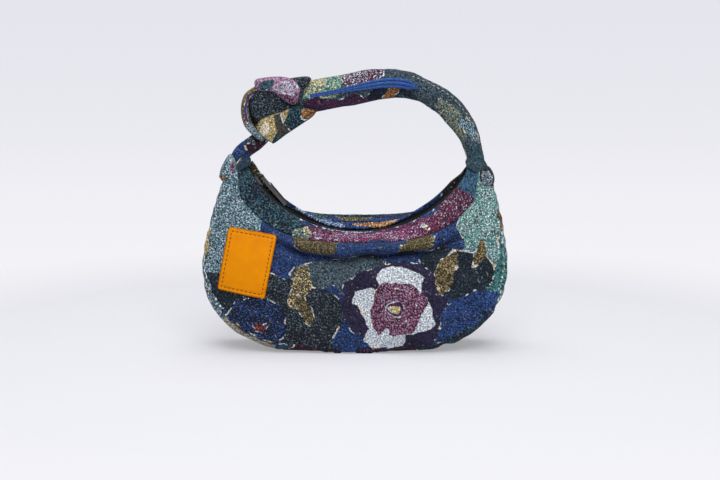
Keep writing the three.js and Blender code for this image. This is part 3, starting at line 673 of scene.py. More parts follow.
def new_group(name, inputs, outputs):
    tree = bpy.data.node_groups.new(name, "ShaderNodeTree")
    for label, kind in inputs.items():
        tree.interface.new_socket(name=label, in_out="INPUT", socket_type="NodeSocket" + kind)
    for label, kind in outputs.items():
        tree.interface.new_socket(name=label, in_out="OUTPUT", socket_type="NodeSocket" + kind)
    start = tree.nodes.new("NodeGroupInput")
    end = tree.nodes.new("NodeGroupOutput")
    return tree, start.outputs, end.inputs


def new_material(name):
    material = bpy.data.materials.new(name)
    material.use_nodes = True
    tree = material.node_tree
    return material, tree, tree.nodes["Principled BSDF"]


def bump(tree, shader, height, strength, distance):
    node = put(tree, "Bump", {"Strength": strength, "Distance": distance * MM, "Height": height})
    tree.links.new(node.outputs[0], shader.inputs["Normal"])


# Node groups that the woven cloths share

# Scale of each noise and how far it moves a place, in millimetres
RAGGED_STEPS = ((0.33, 1.1), (0.12, 3.2), (0.045, 12.0))
HALF = (0.5, 0.5, 0.5)


def make_ragged():
    """Moves a place on the cloth a little, so that woven shapes have stepped, uneven edges."""
    tree, given, out = new_group("ragged_place", {"Place": "Vector"}, {"Place": "Vector"})
    drift = (0, 0, 0)
    for scale, reach in RAGGED_STEPS:
        swirl = noise_node(tree, given["Place"], scale, 1.0).outputs[1]
        step = scaled(tree, vector(tree, "SUBTRACT", swirl, HALF), reach)
        drift = vector(tree, "ADD", step, drift)
    tree.links.new(vector(tree, "ADD", given["Place"], drift), out["Place"])
    return tree


OUTLINE_HALF_WIDTH = 0.5


def make_woven_shape():
    """A lobed oval on the cloth: 1 inside it, and 1 along its outline."""
    tree, given, out = new_group(
        "woven_shape",
        {"Place": "Vector", "Centre": "Vector", "Size": "Vector", "Turn": "Float",
         "Lobes": "Float", "Depth": "Float"},
        {"Inside": "Float", "Outline": "Float"})
    away = vector(tree, "SUBTRACT", given["Place"], given["Centre"])
    turned = turned_place(tree, away, given["Turn"])
    parts = split(tree, vector(tree, "DIVIDE", turned, given["Size"]))
    reach = calc(tree, "SQRT", calc(
        tree, "ADD", times(tree, parts[0], parts[0]),
        times(tree, parts[1], parts[1])))
    turn = calc(tree, "ARCTAN2", parts[1], parts[0])
    wave = calc(tree, "COSINE", times(tree, turn, given["Lobes"]))
    lobed = times(tree, reach, calc(
        tree, "ADD", 1.0, times(tree, wave, given["Depth"])))
    tree.links.new(calc(tree, "LESS_THAN", lobed, 1.0), out["Inside"])
    size = split(tree, given["Size"])
    rim = calc(tree, "ABSOLUTE", calc(tree, "SUBTRACT", lobed, 1.0))
    rim = times(tree, rim, calc(tree, "MINIMUM", size[0], size[1]))
    tree.links.new(calc(tree, "LESS_THAN", rim, OUTLINE_HALF_WIDTH), out["Outline"])
    return tree


# Weave: stretch of the flecks, shares of dark and stray yarns, brightness range, and threads
# of the warp and the weft in radians a millimetre
FLECK_TURN = 0.6
FLECK_STRETCH = (0.8, 1.1, 1.0)
FLECK_EDGE = 0.07
DARK_SHARE = 0.22
STRAY_SHARE, STRAY_STRENGTH = 0.03, 0.28
DARKEST, BRIGHTEST = 0.28, 1.7
WARP, WEFT, WEAVE_HEIGHT = 5.2, 4.4, 0.22


def make_yarn():
    """Yarns that show through each other as short flecks, with the weave's height. The height
    doesn't use Amount: with it the bump overflows the renderer's stack."""
    tree, given, out = new_group(
        "woven_yarns",
        {"Place": "Vector", "Ground": "Color", "Fleck": "Color", "Amount": "Float"},
        {"Color": "Color", "Height": "Float"})
    long = vector(tree, "MULTIPLY", turned_place(tree, given["Place"], FLECK_TURN), FLECK_STRETCH)
    grain = noise_value(tree, long, calc(tree, "MULTIPLY_ADD", given["Amount"], -0.5, 1.05))
    patchy = noise_value(tree, given["Place"], 0.09, 2.0)
    less = calc(tree, "SUBTRACT", given["Amount"], 0.35)
    more = calc(tree, "MULTIPLY_ADD", patchy, 0.7, less)
    cut = calc(tree, "MULTIPLY_ADD", more, -0.34, 0.71)
    flecks = step_up(
        tree, grain, calc(tree, "SUBTRACT", cut, FLECK_EDGE), calc(tree, "ADD", cut, FLECK_EDGE))
    mixed = mix(tree, flecks, given["Ground"], given["Fleck"])
    draw = put(tree, "SeparateColor", {0: cells(tree, long, 0.85)["Color"]}).outputs
    light = put(tree, "RGBToBW", {0: given["Ground"]}).outputs[0]
    depth = calc(tree, "SUBTRACT", 0.8, light, clamp=True)
    dark = times(tree, calc(tree, "LESS_THAN", draw[0], DARK_SHARE), depth)
    mixed = mix(tree, dark, mixed, colour("10141f"))
    stray = mix(tree, draw[2], colour("8a5a30"), colour("a9b3b6"))
    odd = calc(tree, "GREATER_THAN", draw[0], 1 - STRAY_SHARE)
    mixed = mix(tree, times(tree, odd, STRAY_STRENGTH), mixed, stray)
    tone = noise_value(tree, given["Place"], 0.8)
    shade = remap(tree, tone, 0.25, 0.75, DARKEST, BRIGHTEST)
    grey = put(tree, "CombineColor", {0: shade, 1: shade, 2: shade}).outputs[0]
    tree.links.new(mix(tree, 1.0, mixed, grey, "MULTIPLY"), out["Color"])
    parts = split(tree, given["Place"])
    warp = calc(tree, "SINE", times(tree, parts[0], WARP))
    weft = calc(tree, "SINE", times(tree, parts[1], WEFT))
    weave = times(tree, times(tree, warp, weft), WEAVE_HEIGHT)
    lumps = noise_value(tree, long, 1.15)
    tree.links.new(calc(tree, "ADD", weave, calc(tree, "ADD", tone, lumps)), out["Height"])
    return tree


RAGGED = make_ragged()
WOVEN_SHAPE = make_woven_shape()
TWO_YARNS = make_yarn()

YARNS = {
    "navy": colour("1b2f56"), "blue": colour("34528c"), "night": colour("10151f"),
    "slate": colour("2d3f4a"), "grey": colour("526068"), "teal": colour("355f6a"),
    "mint": colour("4b827c"), "ice": colour("a8b5bf"), "white": colour("cfd2d7"),
    "plum": colour("561d3a"), "pink": colour("9a7c96"), "magenta": colour("742856"),
    "purple": colour("2d2644"), "olive": colour("453d2a"), "gold": colour("9c8a5c"),
    "rust": colour("8c4a1f"), "cream": colour("cdbb8e"),
}


# Materials


def yarns(words):
    """Colours of a ground and its flecks, and the flecks' amount, from "navy blue 0.35"."""
    ground, fleck, amount = words.split()
    return YARNS[ground], YARNS[fleck], float(amount)


def tapestry(name, ground, shapes, thread="cream", thread_share=0.45, relief=0.45):
    """Woven cloth. Each shape is (x, y, half width, half height, turn, lobes, depth, yarns), in
    millimetres on the cloth."""
    material, tree, shader = new_material(name)
    place = cloth_place(tree)
    ragged = use_group(tree, RAGGED, {"Place": place})["Place"]
    base, fleck, amount = yarns(ground)
    outline = 0.0
    for x, y, half_x, half_y, turn, lobes, depth, words in shapes:
        shape = use_group(tree, WOVEN_SHAPE, {
            "Place": ragged, "Centre": (x, y, 0), "Size": (half_x, half_y, 1),
            "Turn": radians(turn), "Lobes": lobes, "Depth": depth})
        inside = shape["Inside"]
        own_base, own_fleck, own_amount = yarns(words)
        base = mix(tree, inside, base, own_base)
        fleck = mix(tree, inside, fleck, own_fleck)
        amount = mix_value(tree, inside, amount, own_amount)
        kept = times(tree, outline, calc(tree, "SUBTRACT", 1.0, inside))
        outline = calc(tree, "MAXIMUM", kept, shape["Outline"])
    if shapes:
        broken = calc(tree, "GREATER_THAN", noise_value(tree, place, 0.16, 2.0), 1 - thread_share)
        line = times(tree, outline, broken)
        pale = calc(tree, "GREATER_THAN", noise_value(tree, place, 0.05), 0.44)
        base = mix(tree, line, base, mix(tree, pale, YARNS[thread], YARNS["ice"]))
        fleck = mix(tree, line, fleck, YARNS["white"])
    woven = use_group(tree, TWO_YARNS, {
        "Place": place, "Ground": base, "Fleck": fleck, "Amount": amount})
    fill(tree, shader, {
        "Base Color": woven["Color"], "Roughness": 0.92, "Specular IOR Level": 0.2,
        "Sheen Weight": 0.05, "Sheen Roughness": 0.6})
    bump(tree, shader, woven["Height"], relief, 0.8)
    return material


def edge_distance(tree, place, half_x, half_y):
    """How far a place on a flat piece lies inside its edge."""
    parts = split(tree, place)
    in_x = calc(tree, "SUBTRACT", half_x, calc(tree, "ABSOLUTE", parts[0]))
    in_y = calc(tree, "SUBTRACT", half_y, calc(tree, "ABSOLUTE", parts[1]))
    return calc(tree, "MINIMUM", in_x, in_y)


def orange_leather():
    """Cloudy, pored leather with a dark, rubbed edge."""
    material, tree, shader = new_material("orange_leather")
    place = cloth_place(tree)
    cloudy = noise_value(tree, place, 0.07, 3.0)
    base = mix(tree, cloudy, colour("cc7502"), colour("e88f02"))
    pores = cells(tree, place, 1.1)[0]
    base = mix(tree, times(tree, pores, 0.25), base, colour("ee9c10"))
    inside = edge_distance(tree, place, PATCH_SIZE[0] / 2, PATCH_SIZE[1] / 2)
    rub = calc(tree, "MULTIPLY_ADD", noise_value(tree, place, 0.3, 2.0), 1.2, inside)
    burnt = calc(tree, "SUBTRACT", 1.0, step_up(tree, rub, 0.5, 2.2))
    base = mix(tree, times(tree, burnt, 0.75), base, colour("6e3308"))
    fill(tree, shader, {
        "Base Color": base, "Specular IOR Level": 0.05,
        "Roughness": remap(tree, cloudy, 0.3, 0.7, 0.5, 0.65)})
    grain = noise_value(tree, place, 0.8, 3.0)
    bump(tree, shader, calc(tree, "ADD", times(tree, pores, 0.8), grain), 0.3, 0.4)
    return material


def black_gloss():
    """Lacquered metal with faint smears."""
    material, tree, shader = new_material("black_gloss")
    place = object_place(tree)
    smear = noise_value(tree, place, 0.35, 3.0, "3D")
    fill(tree, shader, {
        "Base Color": mix(tree, smear, colour("050506"), colour("0e0e10")),
        "Roughness": remap(tree, smear, 0.3, 0.7, 0.16, 0.3),
        "Specular IOR Level": 0.9, "Coat Weight": 1.0, "Coat Roughness": 0.12})
    bump(tree, shader, noise_value(tree, place, 1.5, 2.0, "3D"), 0.06, 0.2)
    return material


def worn(name, dark, light, scale, roughness, strength, distance):
    """A material of two tones, uneven in height where its tone is."""
    material, tree, shader = new_material(name)
    tone = noise_value(tree, object_place(tree), scale, 2.0, "3D")
    fill(tree, shader, {
        "Base Color": mix(tree, tone, colour(dark), colour(light)), "Roughness": roughness})
    bump(tree, shader, tone, strength, distance)
    return material


def thread(name, dark, light):
    return worn(name, dark, light, 0.8, 0.8, 0.3, 0.2)


# Ribs along and across a tape, in radians a millimetre
TAPE_RIBS = (9.0, 12.0)


def ribbed_tape(name, dark, light):
    """Narrow woven cloth with ribs along its length."""
    material, tree, shader = new_material(name)
    place = cloth_place(tree)
    ribs = [calc(tree, "SINE", times(tree, part, rate))
            for part, rate in zip(split(tree, place), TAPE_RIBS)]
    weave = times(tree, *ribs)
    tone = calc(tree, "MULTIPLY_ADD", weave, 0.25, noise_value(tree, place, 0.5, 2.0))
    fill(tree, shader, {
        "Base Color": mix(tree, tone, colour(dark), colour(light)), "Roughness": 0.85,
        "Specular IOR Level": 0.25, "Sheen Weight": 0.02})
    bump(tree, shader, tone, 0.3, 0.4)
    return material


# Petals of a blossom: direction in degrees, then distance, half length and half width by its size
PETALS = (
    (70, 0.5, 0.46, 0.3), (165, 0.52, 0.34, 0.26), (235, 0.5, 0.4, 0.34), (330, 0.5, 0.42, 0.27))


def blossom(x, y, size, turn, petals="white ice 0.5", heart="plum pink 0.5"):
    """A round flower: a dark ring, uneven petals, a disc and a heart."""
    shapes = [(x, y, size, size * 0.94, turn, 3, 0.07, "purple night 0.3")]
    for at, far, wide, tall in PETALS:
        angle = radians(at + turn)
        shapes.append((
            x + far * size * cos(angle), y + far * size * sin(angle),
            wide * size, tall * size, at + turn + 90, 3, 0.12, petals))
    return shapes + [
        (x + 0.03 * size, y - 0.02 * size, size * 0.58, size * 0.52, turn, 4, 0.07, heart),
        (x + 0.05 * size, y, size * 0.36, size * 0.33, turn + 40, 3, 0.08, heart),
        (x + 0.05 * size, y, size * 0.17, size * 0.15, turn, 3, 0.12, "purple plum 0.5"),
        (x + 0.05 * size, y, size * 0.1, size * 0.08, turn, 3, 0.15, "cream gold 0.5"),
    ]


front_tapestry = tapestry("front_tapestry", "navy blue 0.35", [
    (-108, 104, 34, 62, 8, 3, 0.08, "teal ice 0.5"),
    (-106, 52, 24, 14, 15, 3, 0.1, "night slate 0.5"),
    (-52, 34, 44, 30, 20, 4, 0.1, "night grey 0.4"),
    (-10, 70, 38, 15, -8, 3, 0.12, "slate grey 0.6"),
    (-28, 104, 18, 11, -8, 2, 0.08, "olive gold 0.25"),
    (46, 102, 18, 10, 12, 2, 0.1, "olive gold 0.3"),
    (106, 116, 26, 46, -14, 4, 0.08, "mint white 0.36"),
    (121, 60, 10, 48, 5, 3, 0.1, "teal mint 0.55"),
    (84, 68, 30, 20, 30, 3, 0.1, "night slate 0.5"),
    (100, 82, 5, 11, 25, 2, 0.1, "olive gold 0.5"),
    (94, 30, 36, 22, -15, 3, 0.1, "navy blue 0.55"),
    (-46, 56, 7, 15, 20, 2, 0.15, "olive cream 0.45"),
    (-40, 36, 6, 12, -25, 2, 0.14, "olive gold 0.4"),
    *blossom(32, 40, 42, 15),
    (-82, 26, 25, 21, 8, 3, 0.05, "night blue 0.42"),
    (-76, 24, 4, 3.5, 20, 3, 0.25, "plum rust 0.5"),
    (74, 70, 8, 17, 25, 2, 0.12, "olive gold 0.45"),
])
back_tapestry = tapestry("back_tapestry", "slate teal 0.4", [
    (-96, 88, 36, 44, 10, 3, 0.1, "navy blue 0.5"),
    (30, 84, 44, 18, 6, 3, 0.1, "teal white 0.55"),
    (100, 92, 34, 40, -20, 4, 0.1, "navy blue 0.5"),
    (-20, 26, 40, 20, 0, 3, 0.1, "navy night 0.4"),
    (84, 30, 24, 16, 20, 3, 0.12, "olive gold 0.4"),
    (10, 60, 18, 8, 30, 2, 0.1, "mint ice 0.5"),
    *blossom(-52, 52, 38, 40),
    *blossom(62, 56, 24, 10, "magenta pink 0.5", "gold cream 0.4"),
])
gusset_tapestry = tapestry("gusset_tapestry", "slate teal 0.5", [
    (-150, 0, 24, 56, 0, 3, 0.08, "teal ice 0.55"),
    (-124, -8, 8, 50, 10, 2, 0.1, "gold cream 0.5"),
    (-100, 0, 22, 56, 0, 3, 0.08, "teal white 0.5"),
    (-66, 0, 20, 56, 4, 3, 0.1, "gold ice 0.5"),
    (-6, 0, 48, 56, 0, 3, 0.08, "night plum 0.5"),
    (62, 0, 32, 56, 10, 3, 0.1, "night teal 0.45"),
    (112, -6, 24, 56, 0, 4, 0.1, "mint white 0.45"),
    (138, -8, 6, 50, 0, 2, 0.1, "olive gold 0.4"),
    (154, 0, 15, 56, 0, 3, 0.1, "mint ice 0.5"),
])
front_facing_tapestry = tapestry("front_facing_tapestry", "navy blue 0.4", [
    (24, 12, 78, 7, 0, 2, 0.02, "plum pink 0.22"),
    (10, 12, 52, 4, 0, 2, 0.1, "magenta ice 0.25"),
    (-20, 2, 34, 4, 0, 2, 0.05, "blue white 0.6"),
    (40, 1, 26, 4, 0, 2, 0.05, "navy blue 0.5"),
    (-92, 9, 46, 22, 0, 3, 0.05, "night teal 0.56"),
    (-46, 15, 10, 5, 0, 2, 0.1, "teal cream 0.5"),
    (84, 9, 18, 16, 10, 3, 0.1, "plum ice 0.14"),
    (108, 8, 16, 22, 10, 3, 0.1, "teal blue 0.45"),
], thread_share=0.35, relief=0.4)
back_facing_tapestry = tapestry("back_facing_tapestry", "navy blue 0.5", [
    (-40, 3, 30, 5, 0, 2, 0.08, "blue ice 0.55"),
    (16, 3, 22, 3, 0, 2, 0.1, "rust cream 0.45"),
    (-62, 13, 16, 7, 0, 2, 0.1, "olive teal 0.5"),
    (-34, 14, 14, 6, 0, 2, 0.1, "night mint 0.45"),
    (-4, 14, 18, 6, 0, 2, 0.1, "olive gold 0.35"),
    (34, 14, 22, 6, 0, 2, 0.1, "night blue 0.35"),
    (66, 13, 12, 6, 0, 2, 0.1, "night rust 0.5"),
    (96, 9, 18, 16, 0, 3, 0.1, "night olive 0.4"),
    (-98, 9, 22, 16, 0, 3, 0.1, "olive gold 0.3"),
], thread_share=0.3, relief=0.4)
strap_tapestry = tapestry("strap_tapestry", "slate grey 0.45", [
    (90, 16, 80, 15, 0, 3, 0.08, "slate navy 0.4"),
    (40, 14, 20, 12, 0, 3, 0.1, "plum ice 0.5"),
    (172, 36, 26, 17, 4, 3, 0.06, "mint cream 0.36"),
    (177, 42, 14, 9, 10, 2, 0.1, "mint cream 0.62"),
    (132, 34, 19, 16, -4, 3, 0.08, "plum ice 0.45"),
    (160, 61, 32, 9, 0, 2, 0.05, "purple plum 0.55"),
    (123, 61, 8, 9, 0, 2, 0.05, "night navy 0.4"),
    (113, 60, 6, 8, 20, 2, 0.1, "rust gold 0.5"),
    (98, 61, 11, 9, 0, 2, 0.05, "night teal 0.35"),
    (48, 54, 22, 6, 6, 3, 0.1, "teal gold 0.5"),
    (34, 46, 12, 5, -10, 3, 0.1, "teal ice 0.4"),
    (24, 37, 12, 4, 0, 2, 0.1, "rust olive 0.4"),
    (42, 63.5, 46, 2.6, 0, 2, 0.05, "teal mint 0.5"),
    (12, 61, 15, 3.2, 0, 2, 0.05, "olive gold 0.7"),
    (10, 52, 12, 12, 0, 3, 0.1, "slate teal 0.5"),
], thread_share=0.4)
stub_cloth = tapestry("stub_cloth", "navy blue 0.45", [
    (16, 12, 6, 6, 0, 3, 0.1, "rust gold 0.45"),
    (26, 30, 10, 8, 20, 3, 0.1, "night plum 0.4"),
    (22, 20, 3, 5, 30, 2, 0.1, "slate ice 0.5"),
])
slate_cloth = tapestry("slate_cloth", "night grey 0.5", [])
pink_cloth = tapestry("pink_cloth", "pink plum 0.3", [
    (-71, 219, 6, 4.5, 10, 3, 0.1, "slate teal 0.5"),
    (-50, 206, 8, 5, 20, 3, 0.1, "plum pink 0.5"),
    (-55, 217, 9, 5, 10, 3, 0.1, "pink ice 0.4"),
], thread="magenta")
gold_cloth = tapestry("gold_cloth", "gold cream 0.45", [
    (-60, 186, 4, 16, -26, 2, 0.1, "olive slate 0.5"),
    (-76, 183, 5, 6, 40, 2, 0.1, "cream white 0.5"),
])
facet_cloth = tapestry("facet_cloth", "night teal 0.5", [
    (-37, 195, 8, 5, -35, 3, 0.1, "rust gold 0.45"),
    (-60, 184, 5, 16, -34, 2, 0.1, "olive slate 0.5"),
])
rim_cloth = tapestry("rim_cloth", "olive gold 0.5", [
    (26, 49, 24, 3.4, 0, 2, 0.1, "plum blue 0.5"),
    (30, 45, 34, 3, 0, 2, 0.1, "night ice 0.35"),
    (48, 52, 12, 8, 0, 2, 0.1, "teal ice 0.5"),
    (46, 30, 12, 6, 0, 2, 0.1, "teal gold 0.5"),
])
left_horn_cloth = tapestry("left_horn_cloth", "navy blue 0.4", [
    (9, 34, 30, 12, 0, 2, 0.05, "slate navy 0.4"),
])
right_horn_cloth = tapestry("right_horn_cloth", "slate teal 0.4", [])
left_tab_cloth = tapestry("left_tab_cloth", "teal ice 0.5", [
    (-106, 139, 9, 3, 20, 2, 0.1, "rust gold 0.5"),
    (-98, 148, 2.4, 10, 5, 2, 0.1, "plum pink 0.5"),
])
right_tab_cloth = tapestry("right_tab_cloth", "night slate 0.4", [
    (107.4, 142.2, 5.0, 7.6, -15, 2, 0.04, "grey ice 0.5"),
])
edge_cloth = ribbed_tape("edge_cloth", "080d20", "121c3c")
cord_cloth = ribbed_tape("cord_cloth", "12265a", "426ab0")
lining_cloth = ribbed_tape("lining_cloth", "131a26", "26303f")
zip_cloth = ribbed_tape("zip_cloth", "040405", "0d0d0f")
leather = orange_leather()
gloss = black_gloss()
nylon = worn("black_nylon", "0a0a0c", "1e1e22", 0.9, 0.42, 0.2, 0.3)
pale_thread = thread("pale_thread", "8d7f78", "cfc3b0")
blue_thread = thread("blue_thread", "0e1630", "24386c")
plum_thread = thread("plum_thread", "3a1a30", "6d3c5c")
dark_thread = thread("dark_thread", "2a1606", "5a300c")


# Cloth of the bag


def body_angle(u):
    return lerp(LEFT_HORN, RIGHT_HORN, u)


def mouth_angle(u):
    return lerp(ZIP_END_LEFT, ZIP_END_RIGHT, u)


def panel_cloth(columns, rows, side, seed):
    """Places of a panel's grid on its flat cloth, which is longer than the bag where it folds."""
    table = {}
    for i in range(columns + 1):
        slack, last = 0.0, None
        for j in range(rows, -1, -1):
            point = panel_point(body_angle(i / columns), j / rows, side, seed=seed)
            if last:
                step = point - last
                slack += step.length - hypot(step.x, step.z)
            inward = Vector((ZIP_X - point.x, 0, ZIP_Z - point.z)).normalized()
            spot = point + inward * slack
            table[i, j] = (spot.x, spot.z)
            last = point
    return lambda u, v: table[round(u * columns), round(v * rows)]


# Distance below the mouth's seam, and half size round the patch, within which cloth is calmer
GATHER_HELD = 22
PATCH_HELD_X, PATCH_HELD_Z = 22, 28
# The base, below this height, is calmer too
BASE_HELD = 12


def near_mouth(point, side):
    """In the gathered cloth below the mouth's seam."""
    angle = atan2(point.x - ZIP_X, ZIP_Z - point.z)
    reach = hypot(point.x - ZIP_X, point.z - ZIP_Z)
    return reach - section(angle, side)[1][0] < GATHER_HELD


def under_patch(point):
    x, z = PATCH_PLACE
    return abs(point.x - x) < PATCH_HELD_X and abs(point.z - z) < PATCH_HELD_Z


# Columns and rows of the sheets' grids
FRONT_GRID = (130, 72)
BACK_GRID = (110, 60)
GUSSET_GRID = (150, 22)
FACING_GRID = (220, 26)
LINING_GRID = (70, 24)
STRIP_LINING_GRID = (80, 16)
TAPE_GRID = (260, 16)
# Share by which a simulated cloth is larger than its place
FRONT_GROWTH = 0.06
BACK_GROWTH = 0.05
GUSSET_GROWTH = 0.03
# Thicknesses
PANEL_WALL = 2.0
FACING_WALL = 1.8
LINING_WALL = 0.8
TAPE_WALL = 0.8 * TAPE
# Radius that angles are unrolled with on the gusset and the linings, and widths of the cloths
UNROLLED = 150
GUSSET_WIDTH = 66
FACING_WIDTH = 18
LINING_WIDTH = 90
STRIP_LINING_WIDTH = 60
TAPE_WIDTH = 8
LINING_INSET = 7.0
LINING_RELIEF = 0.4
LINING_SEED = 6.3
SIDES = (("front", FRONT), ("back", BACK))


def make_panels():
    front = body_sheet(
        "front_cloth", FRONT_GRID, lambda u, v: panel_point(body_angle(u), v, FRONT),
        panel_cloth(*FRONT_GRID, FRONT, FRONT_SEED), front_tapestry, ["front_panel"],
        PANEL_WALL, FRONT_GROWTH,
        lambda point: under_patch(point) or near_mouth(point, FRONT))
    back = body_sheet(
        "back_cloth", BACK_GRID, lambda u, v: panel_point(body_angle(u), v, BACK, seed=BACK_SEED),
        panel_cloth(*BACK_GRID, BACK, BACK_SEED), back_tapestry, ["back_panel"],
        PANEL_WALL, BACK_GROWTH, lambda point: near_mouth(point, BACK))
    gusset = body_sheet(
        "gusset_cloth", GUSSET_GRID, lambda u, v: gusset_point(body_angle(u), 2 * v - 1),
        lambda u, v: (UNROLLED * body_angle(u), GUSSET_WIDTH * (v - 0.5)), gusset_tapestry,
        ["gusset"], PANEL_WALL, GUSSET_GROWTH, lambda point: point.z < BASE_HELD)
    return front


def make_facings():
    tapestries = (front_facing_tapestry, back_facing_tapestry)
    for (name, side), material in zip(SIDES, tapestries):
        facing = body_sheet(
            name + "_facing_cloth", FACING_GRID,
            lambda u, v: facing_point(body_angle(u), v, side),
            lambda u, v: (ZIP_RADIUS * body_angle(u), FACING_WIDTH * v), material,
            [name + "_facing"], FACING_WALL)


def make_lining():
    for name, side in SIDES:
        lining = body_sheet(
            name + "_lining_cloth", LINING_GRID,
            lambda u, v: panel_point(
                mouth_angle(u), v, side, LINING_INSET, LINING_RELIEF, LINING_SEED),
            lambda u, v: (UNROLLED * mouth_angle(u), LINING_WIDTH * v), lining_cloth,
            [name + "_lining"], LINING_WALL)
    strip = body_sheet(
        "gusset_lining_cloth", STRIP_LINING_GRID,
        lambda u, v: gusset_point(mouth_angle(u), 2 * v - 1, LINING_INSET, LINING_RELIEF),
        lambda u, v: (UNROLLED * mouth_angle(u), STRIP_LINING_WIDTH * v), lining_cloth,
        ["gusset_lining"], LINING_WALL)


def make_tapes():
    for name, side in SIDES:
        tape = body_sheet(
            name + "_tape_cloth", TAPE_GRID, lambda u, v: tape_point(mouth_angle(u), v, side),
            lambda u, v: (ZIP_RADIUS * mouth_angle(u), TAPE_WIDTH * v), zip_cloth,
            [name + "_zip_tape"], TAPE_WALL)


# Stitches: (length, gap, girth)
FACING_STITCH = (3.0, 1.4, 0.42)
PATCH_STITCH = (2.4, 1.0, 0.36)
STRAP_STITCH = (2.8, 1.6, 0.4)


def stitch_line(name, points, lifts, material, body, stitch):
    """Short threads along a line, lying on the surface that the lifts point out of."""
    length, gap, girth = stitch
    bm = bmesh.new()
    run = 0.0
    for a, b, lift in zip(points, points[1:], lifts):
        run += (b - a).length
        if run < length + gap:
            continue
        run = 0.0
        along = (b - a).normalized()
        across = lift.cross(along).normalized()
        turn = Matrix((along, across, along.cross(across))).transposed().to_4x4()
        shape = Matrix.Diagonal((length / 2 * MM, girth * MM, girth * 0.8 * MM, 1))
        place = Matrix.Translation((a + lift * girth * 0.3) * MM)
        bmesh.ops.create_uvsphere(
            bm, u_segments=6, v_segments=4, radius=1.0, matrix=place @ turn @ shape)
    return finish_mesh(name, bm, material, body, None)


FACING_LINE_STEPS = 700
BESIDE_ROW = 0.1


def facing_line(across, side):
    shares = (k / FACING_LINE_STEPS for k in range(FACING_LINE_STEPS + 1))
    return [facing_point(mouth_angle(s), across, side) for s in shares]


def make_facing_stitches():
    for (name, side), material in zip(SIDES, (plum_thread, blue_thread)):
        for row, across in FACING_ROWS.items():
            points = facing_line(across, side)
            lifts = []
            for a, b, beside in zip(points, points[1:], facing_line(across + BESIDE_ROW, side)):
                out = (b - a).cross(beside - a).normalized()
                lifts.append(out if out.z > 0 else -out)
            stitch_line(f"{name}_facing_stitches_{row}", points, lifts, material, "bag",
                        FACING_STITCH)


# Leather patch


def bend_terms(a, b):
    a, b = a / PATCH_SIZE[1], b / PATCH_SIZE[1]
    return [1, a, b, a * a, a * b, b * b, a ** 3, a * a * b, a * b * b, b ** 3]


# Share of the cloth that lies behind the patch
PATCH_CLEAR = 0.97
RAY_START = -200


def patch_bend(front):
    """Stiff leather bends less than the cloth under it: a smooth surface fitted to the cloth's
    depth, moved out until the cloth is behind it."""
    shell = bmesh.new()
    shell.from_mesh(front.data)
    cloth = BVHTree.FromBMesh(shell)
    shell.free()
    rows, depths = [], []
    for a in np.linspace(-0.5, 0.5, 15) * PATCH_SIZE[0]:
        for b in np.linspace(-0.5, 0.5, 19) * PATCH_SIZE[1]:
            x, z = patch_place(a, b)
            spot = cloth.ray_cast(Vector((x, RAY_START, z)) * MM, DEPTH)[0]
            rows.append(bend_terms(a, b))
            depths.append(spot.y / MM)
    rows, depths = np.array(rows), np.array(depths)
    bend = np.linalg.lstsq(rows, depths, rcond=None)[0]
    proud = np.sort(rows @ bend - depths)
    bend[0] -= proud[int(PATCH_CLEAR * len(proud))]
    return bend


PATCH_LIFT = 1.9
PATCH_CORNER = 3.0
PATCH_STITCH_INSET = 3.2
PATCH_WALL = 1.6
PATCH_GRID = (80, 104)
PATCH_EDGE_STEPS = 150


def rounded(a, b):
    """Draws places near a corner of the patch in, so that the corner is an arc."""
    half_a, half_b = PATCH_SIZE[0] / 2 - PATCH_CORNER, PATCH_SIZE[1] / 2 - PATCH_CORNER
    over_a = max(0.0, abs(a) - half_a) / PATCH_CORNER
    over_b = max(0.0, abs(b) - half_b) / PATCH_CORNER
    if over_a > 0 and over_b > 0:
        a = copysign(half_a + PATCH_CORNER * over_a * sqrt(1 - over_b ** 2 / 2), a)
        b = copysign(half_b + PATCH_CORNER * over_b * sqrt(1 - over_a ** 2 / 2), b)
    return a, b


def patch_place(a, b):
    """Place on the bag's front, seen from the front, of a place on the patch."""
    x = PATCH_PLACE[0] + a * cos(PATCH_TURN) - b * sin(PATCH_TURN)
    z = PATCH_PLACE[1] + a * sin(PATCH_TURN) + b * cos(PATCH_TURN)
    return x, z


def patch_point(bend, a, b):
    a, b = rounded(a, b)
    inside = min(PATCH_SIZE[0] / 2 - abs(a), PATCH_SIZE[1] / 2 - abs(b))
    x, z = patch_place(a, b)
    depth = float(np.dot(bend_terms(a, b), bend))
    sewn = 0.5 * hump(inside, PATCH_STITCH_INSET, 0.9)
    lift = PATCH_LIFT - sewn - 0.5 * exp(-inside / 0.6)
    return Vector((x, depth - lift, z))


def make_patch(front):
    bend = patch_bend(front)
    flat = lambda u, v: ((u - 0.5) * PATCH_SIZE[0], (v - 0.5) * PATCH_SIZE[1])
    bm = grid_sheet(
        *PATCH_GRID, lambda u, v: patch_point(bend, *flat(u, v)),
        lambda u, v: rounded(*flat(u, v)))
    face_outwards(bm)
    patch = finish_mesh("leather_label", bm, leather, "bag", ["leather_patch"])
    add_thickness(patch, PATCH_WALL)
    half_a, half_b = (size / 2 - PATCH_STITCH_INSET for size in PATCH_SIZE)
    signs = ((-1, -1), (1, -1), (1, 1), (-1, 1), (-1, -1))
    corners = [(a * half_a, b * half_b) for a, b in signs]
    points = []
    for (a0, b0), (a1, b1) in zip(corners, corners[1:]):
        for share in (k / PATCH_EDGE_STEPS for k in range(PATCH_EDGE_STEPS)):
            points.append(patch_point(bend, lerp(a0, a1, share), lerp(b0, b1, share)))
    points.append(points[0])
    lifts = [-DEPTH] * (len(points) - 1)
    stitch_line("label_stitches", points, lifts, dark_thread, "bag", PATCH_STITCH)


# Zip hardware

FLAT_ANGLE = radians(2)
SHARP_ANGLE = radians(40)


